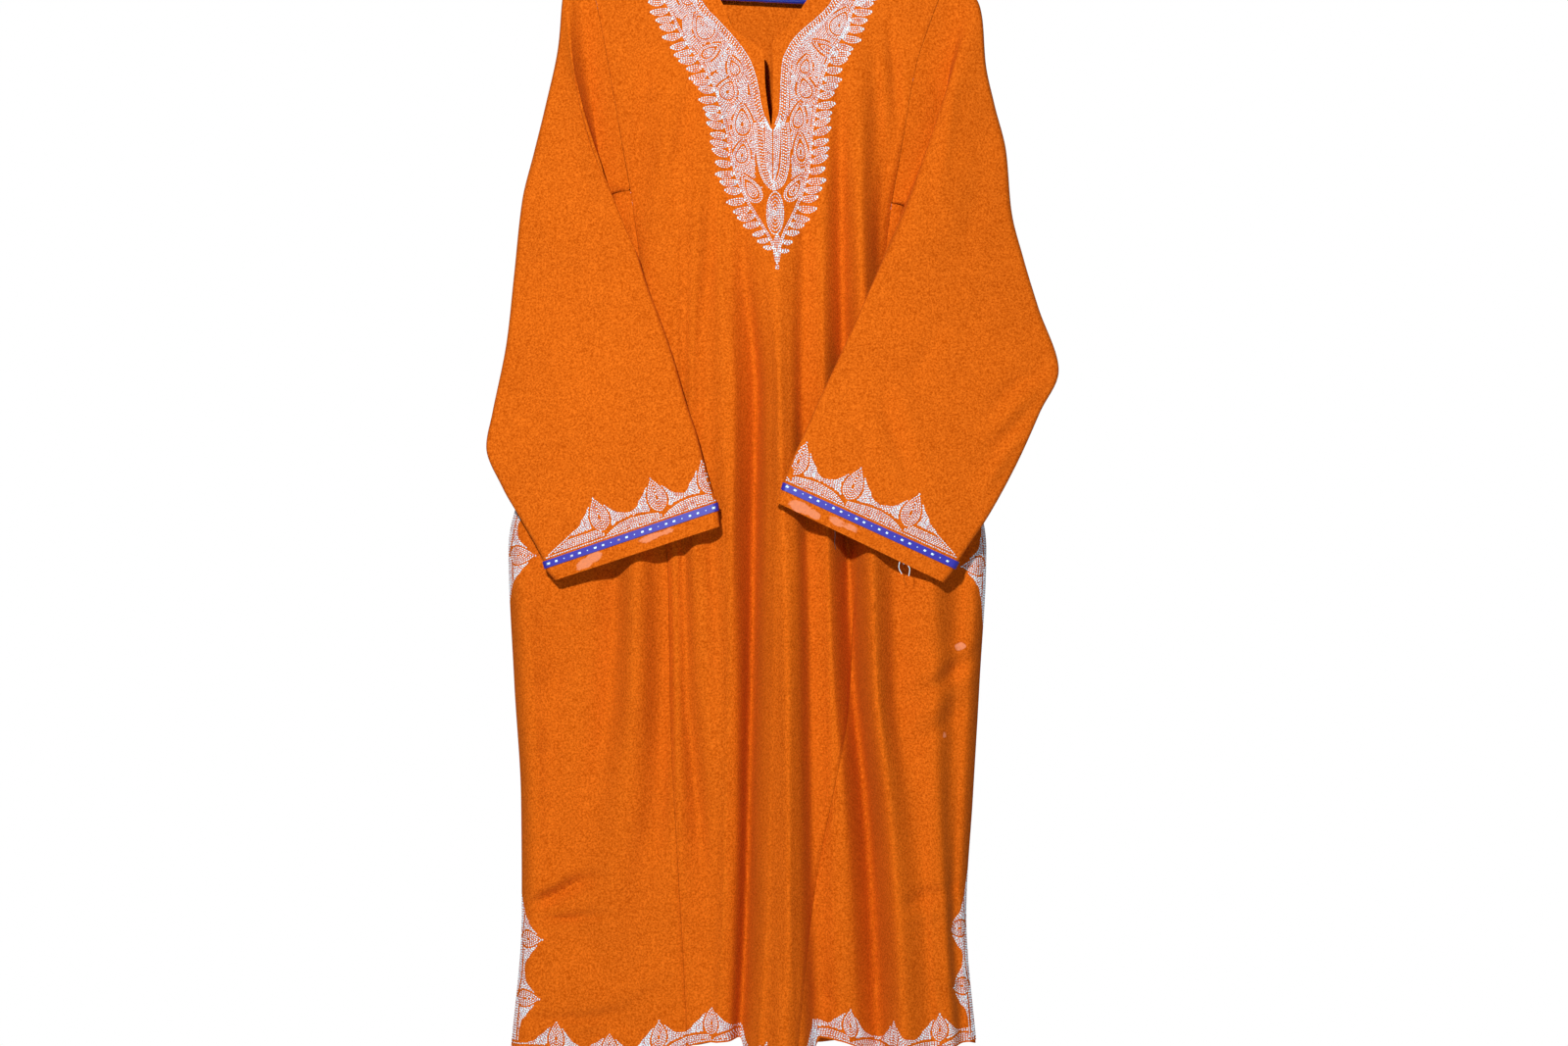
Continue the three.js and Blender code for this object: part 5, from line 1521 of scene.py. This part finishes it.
# %% [markdown]
# The motif ends in a tall oval, one leaf and a dot. The oval is worked a little higher than
# the rest. With that the neck is complete, and all its stitches become one mesh.

# %% The foot of the motif
turn = np.linspace(0, 2 * np.pi, 29)
oval = np.stack([8.5 * np.cos(turn), 22.0 * np.sin(turn)], axis=1)
for ring in (1.0, 0.82, 0.64, 0.46, 0.28, 0.12):
    neck_work.sew([np.array(spot(791, 217)) + ring * oval], height=0.8)
neck_work.sew(leaf(spot(MOTIF_MIDDLE, 238), spot(MOTIF_MIDDLE, 270), 7.0))
neck_work.sew(dot(spot(MOTIF_MIDDLE, 273), 1.8) + dot(spot(MOTIF_MIDDLE, 273), 0.6))
neck_thread = neck_work.finish("neck_embroidery", silver)

# %% [markdown]
# A border needs an edge to follow. A cuff is straight as it lies, so two points will do. On
# the hem and down the sides the distance is measured along the cloth, so the motifs look
# narrower where it turns away, as worked ones do.

# %% Edges that borders follow
def straight_edge(start, end):
    """A frame along a straight edge: s from start towards end, h square to it, upwards."""
    start, end = np.array(start, float), np.array(end, float)
    along = (end - start) / np.hypot(*(end - start))
    away = np.array([along[1], -along[0]])
    return lambda s, h: tuple(start + along * s + away * h)


def hem_edge(layer, lift=1.5):
    """A frame along a folded hem: s is the distance along the cloth."""
    x = np.arange(-281.0, 205.0, 1.0)
    drop = smooth(HEM_X, layer.hem, x)
    depth = cloth_depth(layer, x, drop - 15.0, ())
    steps = np.sqrt(np.diff(x) ** 2 + np.diff(depth) ** 2 + np.diff(drop) ** 2)
    run = np.concatenate([[0], np.cumsum(steps)])

    def place(s, h):
        here = np.interp(s, run, x)
        return here, np.interp(here, x, drop) - lift - h
    return place, lambda at: float(np.interp(at, x, run)), run[-1]


def side_edge(layer, which):
    """A frame down a side edge: s is the drop, h goes inwards across the cloth."""
    table = np.arange(430.0, 1290.0, 4.0)
    reach = np.arange(0.0, 60.0, 1.0)
    turn = 1 if which == 0 else -1
    places = []
    for drop in table:
        x = float(layer.edge(which, drop)) + turn * reach
        y = cloth_depth(layer, x, np.full_like(x, drop), ())
        run = np.concatenate([[0], np.cumsum(np.hypot(np.diff(x), np.diff(y)))])
        places.append(np.interp(np.arange(0.0, 50.0, 1.0), run, x))
    places = np.array(places)

    def place(s, h):
        k = int(np.clip(round((s - 430.0) / 4.0), 0, len(table) - 1))
        near = np.interp(s, table, layer.edge(which, table)) - float(layer.edge(which, table[k]))
        return float(np.interp(h, np.arange(0.0, 50.0, 1.0), places[k])) + near, s
    return place


print("the front's hem is", round(hem_edge(front)[2]), "mm long, laid flat")

# %% [markdown]
# The cuffs come first, each with buds at its own places, and then the hem all round.

# %% Cuffs and hems
left_cuff = Needlework([sleeve_left])
left_cuff.sew(border(0.5, 185.5, (66.5, 128.5, 183.0), tapers=(34.0, 0.0)),
              straight_edge((-240.5, 752.5), (-64.5, 693.0)))
left_cuff_thread = left_cuff.finish("left_cuff_embroidery", silver)

right_cuff = Needlework([sleeve_right])
right_cuff.sew(border(0.5, 192.0, (5.0, 65.5, 130.0), tapers=(0.0, 34.0), flip=True),
               straight_edge((3.5, 672.5), (179.0, 752.0)))
right_cuff_thread = right_cuff.finish("right_cuff_embroidery", silver)

front_hem = Needlework([front_panel, side_pieces["front_left"], side_pieces["front_right"]])
place, along, total = hem_edge(front)
front_buds = [along(spot(u, 0)[0]) for u in (566, 621, 672, 726, 782, 830, 868, 912, 959)]
front_hem.sew(border(1.0, total - 1.0, front_buds, reach=0.8), place)
front_hem_thread = front_hem.finish("front_hem_embroidery", silver)

back_hem = Needlework([back_panel, side_pieces["back_left"], side_pieces["back_right"]], side=1)
place, along, total = hem_edge(back)
back_hem.sew(border(1.0, total - 1.0, np.arange(30.0, total - 20.0, 56.0), reach=0.8), place)
back_hem_thread = back_hem.finish("back_hem_embroidery", silver)

# %% [markdown]
# The side slits open a hand's width above the hem, and the pocket mouths lie higher up on the
# same edges. Front and back carry the same borders, so that they meet at the fold.

# %% Slits and pocket mouths
# first and last drop, the buds' drops, and the tapers: slit, then pocket mouth
LEFT_BORDERS = [(1100.0, 1250.0, (1144.0, 1205.0), (26.0, 0.0)),
                (668.0, 796.0, (689.0, 749.0), (20.0, 26.0))]
RIGHT_BORDERS = [(1075.0, 1246.0, (1133.0, 1193.0), (34.0, 0.0)),
                 (699.0, 822.0, (760.0,), (34.0, 34.0))]
SLIT_REACH, POCKET_REACH = 0.8, 0.95
edge_threads = []
for name, layer, side in (("front_left", front, -1), ("front_right", front, -1),
                          ("back_left", back, 1), ("back_right", back, 1)):
    work = Needlework([side_pieces[name]], side=side)
    which = 0 if name.endswith("left") else -1
    place = side_edge(layer, which)
    borders = LEFT_BORDERS if which == 0 else RIGHT_BORDERS
    for (start, end, buds, tapers), reach in zip(borders, (SLIT_REACH, POCKET_REACH)):
        work.sew(border(start, end, buds, reach=reach, tapers=tapers, flip=True), place)
    edge_threads.append(work.finish(name + "_edge_embroidery", silver))

# %% [markdown]
# The tapes carry a plain woven row: two diamonds, a dot, and so on. They are sewn with the
# same needlework as the borders, as single wide stitches without any chance in them.

# %% Tape marks
MARK_STEP = 8.5
WOVEN = dict(height=0.25, tone=0.0, jitter=0)


def tape_marks(name, piece, start, end):
    work = Needlework([piece])
    frame_at = straight_edge(start, end)
    length = math.hypot(end[0] - start[0], end[1] - start[1])
    for k, s in enumerate(np.arange(5.0, length - 3.0, MARK_STEP)):
        half, width = (0.9, 1.8) if k % 3 == 2 else (2.3, 3.4)
        work.sew([[(s - half, 0), (s + half, 0)]], frame_at, width=width, pitch=2 * half, **WOVEN)
    return work.finish(name, silver)


left_marks = tape_marks("left_tape_marks", tape_left, (-242, 758.5), (-64.5, 699))
right_marks = tape_marks("right_tape_marks", tape_right, (2, 677), (178, 758.5))

# %% [markdown]
# A few thread ends hang below the cuffs, three of them white and one dark. Each is a fine tube
# round a smooth line. A curve object with a bevel gives the same tube, but it would still
# have to be made a mesh.

# %% Thread ends
def strand(points, radius, sides=6):
    """Points and faces of a fine closed tube along a line, in millimetres."""
    points = np.array(points, float)
    knots = np.arange(len(points), dtype=float)
    path_points = smooth(knots, points, np.linspace(0, knots[-1], 6 * (len(points) - 1) + 1))
    along = unit(np.gradient(path_points, axis=0))
    across = unit(np.cross(along, (0.0, 1.0, 0.05)))
    other = np.cross(along, across)
    turn = np.linspace(0, 2 * np.pi, sides, endpoint=False)
    rings = (path_points[:, None] + radius * (np.cos(turn)[None, :, None] * across[:, None]
                                              + np.sin(turn)[None, :, None] * other[:, None]))
    count = len(path_points)
    faces = []
    for i in range(count - 1):
        for k in range(sides):
            m = (k + 1) % sides
            faces.append([i * sides + k, (i + 1) * sides + k, (i + 1) * sides + m, i * sides + m])
    faces.append(list(range(sides)))
    faces.append([(count - 1) * sides + k for k in reversed(range(sides))])
    return rings.reshape(-1, 3), faces


def strands(name, lines, radius, material):
    points, faces = [], []
    for item in lines:
        base = sum(len(p) for p in points)
        ring_points, ring_faces = strand(item, radius)
        points.append(ring_points)
        faces += [[v + base for v in face] for face in ring_faces]
    return add_mesh(name, np.concatenate(points) * MM, faces, material, sharp=None)


THREAD_ENDS = [
    [(118, -67.5, -744), (120, -70, -752), (119, -71, -760), (122, -72, -767)],
    [(126, -67.0, -748), (127, -70, -756), (130, -71, -762), (129, -73, -769)],
    [(121, -66.5, -750), (124, -69, -757), (126, -70, -755)],
]
thread_ends = strands("white_thread_ends", THREAD_ENDS, 0.35, silver)
dark_thread, _, dark_shader = node_material("dark_thread")
dark_shader.inputs["Base Color"].default_value = (0.03, 0.02, 0.02, 1.0)
dark_shader.inputs["Roughness"].default_value = 0.7
DARK_END = [[(53, -76.5, -716), (54.5, -79, -727), (54, -80, -735), (55, -81, -742)]]
dark_end = strands("dark_thread_end", DARK_END, 0.3, dark_thread)
print("thread ends:", len(THREAD_ENDS) + len(DARK_END))

# %% [markdown]
# The hanger is one glossy moulding: a tube bent into a flat triangle with a hook on top. Its
# middle line is worked out first, with rounded corners, and a bevelled curve puts the tube
# round it.

# %% Tubes and corners
def moulded_tube(name, points, radius, closed):
    data = bpy.data.curves.new(name, "CURVE")
    data.dimensions = "3D"
    data.bevel_depth = radius * MM
    data.bevel_resolution = 5
    data.use_fill_caps = True
    spline = data.splines.new("POLY")
    spline.points.add(len(points) - 1)
    for point, (x, drop) in zip(spline.points, points):
        across, down = turned(x, drop)
        point.co = (across * MM, 0.0, -down * MM, 1.0)
    spline.use_cyclic_u = closed
    piece = bpy.data.objects.new(name, data)
    scene.collection.objects.link(piece)
    return piece


def rounded_corner(before, corner, after, reach, steps=10):
    before, corner, after = (np.array(p, float) for p in (before, corner, after))
    start = corner + unit(before - corner) * reach
    end = corner + unit(after - corner) * reach
    t = np.linspace(0, 1, steps)[:, None]
    return [tuple(p) for p in start * (1 - t) ** 2 + 2 * corner * t * (1 - t) + end * t ** 2]


FRAME_TUBE, HOOK_TUBE = 4.5, 3.5
APEX_AT, BAR_MIDDLE = (0.0, APEX_DROP), (0.0, 173.0)
RIGHT_AT, LEFT_AT = (TIP_X + 4.0, TIP_DROP + 1.7), (-TIP_X - 4.0, TIP_DROP + 1.7)
triangle = (rounded_corner(LEFT_AT, APEX_AT, RIGHT_AT, 14.0)
            + rounded_corner(APEX_AT, RIGHT_AT, BAR_MIDDLE, 9.0, 14)
            + rounded_corner(BAR_MIDDLE, LEFT_AT, APEX_AT, 9.0, 14))
hook_points = [(0.0, 81.0), (0.0, 68.0), (0.3, 60.0), (3.0, 53.0), (8.0, 46.0)]
hook_points += [(23.5 * math.cos(a), 20.0 - 23.5 * math.sin(a))
                for a in np.radians(np.arange(-52.0, 191.0, 6.0))]
parts = [moulded_tube("hanger_frame", triangle, FRAME_TUBE, True),
         moulded_tube("hanger_hook", hook_points, HOOK_TUBE, False)]
print("hanger tubes:", len(triangle), "and", len(hook_points), "points")

# %% [markdown]
# A moulding has no seam where its hook meets its frame. The two tubes are joined and melted
# into one skin with a voxel remesh, and a little smoothing rounds the crotch between them. A
# Boolean union would leave a hard line there.

# %% The hanger in one piece
bpy.ops.object.select_all(action="DESELECT")
for part in parts:
    part.select_set(True)
bpy.context.view_layer.objects.active = parts[0]
bpy.ops.object.convert(target="MESH")
bpy.ops.object.join()
hanger = bpy.context.object
hanger.name = "moulded_hanger"
blend = hanger.modifiers.new("melt", "REMESH")
blend.mode = "VOXEL"
blend.voxel_size = 0.0013
blend.use_smooth_shade = True
bpy.ops.object.modifier_apply(modifier="melt")
soften = hanger.modifiers.new("soften", "SMOOTH")
soften.iterations = 4
bpy.ops.object.modifier_apply(modifier="soften")
hanger.data.materials.clear()
hanger.data.materials.append(plastic)
print("hanger", len(hanger.data.polygons), "faces")

# %% [markdown]
# Last, the imported node that each piece stands for is hidden, and the piece is attached to the
# root body. The table also lists how each cloth was cut: the width and length of the flat cloth
# that shows, and its area where it tapers.

# %% Ties to the frame
CLOTH = {
    # node: piece, cut width and length, and the cut's area where it tapers
    "front_panel": (front_panel, (0.31, 1.17), 0.30),
    "back_panel": (back_panel, (0.30, 1.17), 0.30),
    "side_panel_front_left": (side_pieces["front_left"], (0.20, 0.91), 0.135),
    "side_panel_front_right": (side_pieces["front_right"], (0.20, 0.91), 0.135),
    "side_panel_back_left": (side_pieces["back_left"], (0.18, 0.91), 0.120),
    "side_panel_back_right": (side_pieces["back_right"], (0.13, 0.91), 0.080),
    "sleeve_left": (sleeve_left, (0.50, 0.55), 0.175),
    "sleeve_right": (sleeve_right, (0.54, 0.60), 0.200),
}
for node, (piece, flat, area) in CLOTH.items():
    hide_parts(node)
    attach(piece, "root")
for piece in (neck_thread, left_cuff_thread, right_cuff_thread, front_hem_thread,
              back_hem_thread, left_marks, right_marks, thread_ends, *edge_threads):
    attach(piece, "root")
for node, piece in (("cuff_tape_left", tape_left), ("cuff_tape_right", tape_right)):
    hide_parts(node)
    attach(piece, "root")

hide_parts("hanger")
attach(hanger, "root")
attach(dark_end, "root")
print("cloth pieces tied:", len(CLOTH))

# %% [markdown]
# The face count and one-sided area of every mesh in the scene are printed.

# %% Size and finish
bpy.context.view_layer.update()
for piece in bpy.data.objects:
    if piece.type == "MESH":
        area = sum(p.area for p in piece.data.polygons)
        print(f"{piece.name:24s} {len(piece.data.polygons):7d} faces, one side {area / 2:.4f} m2")
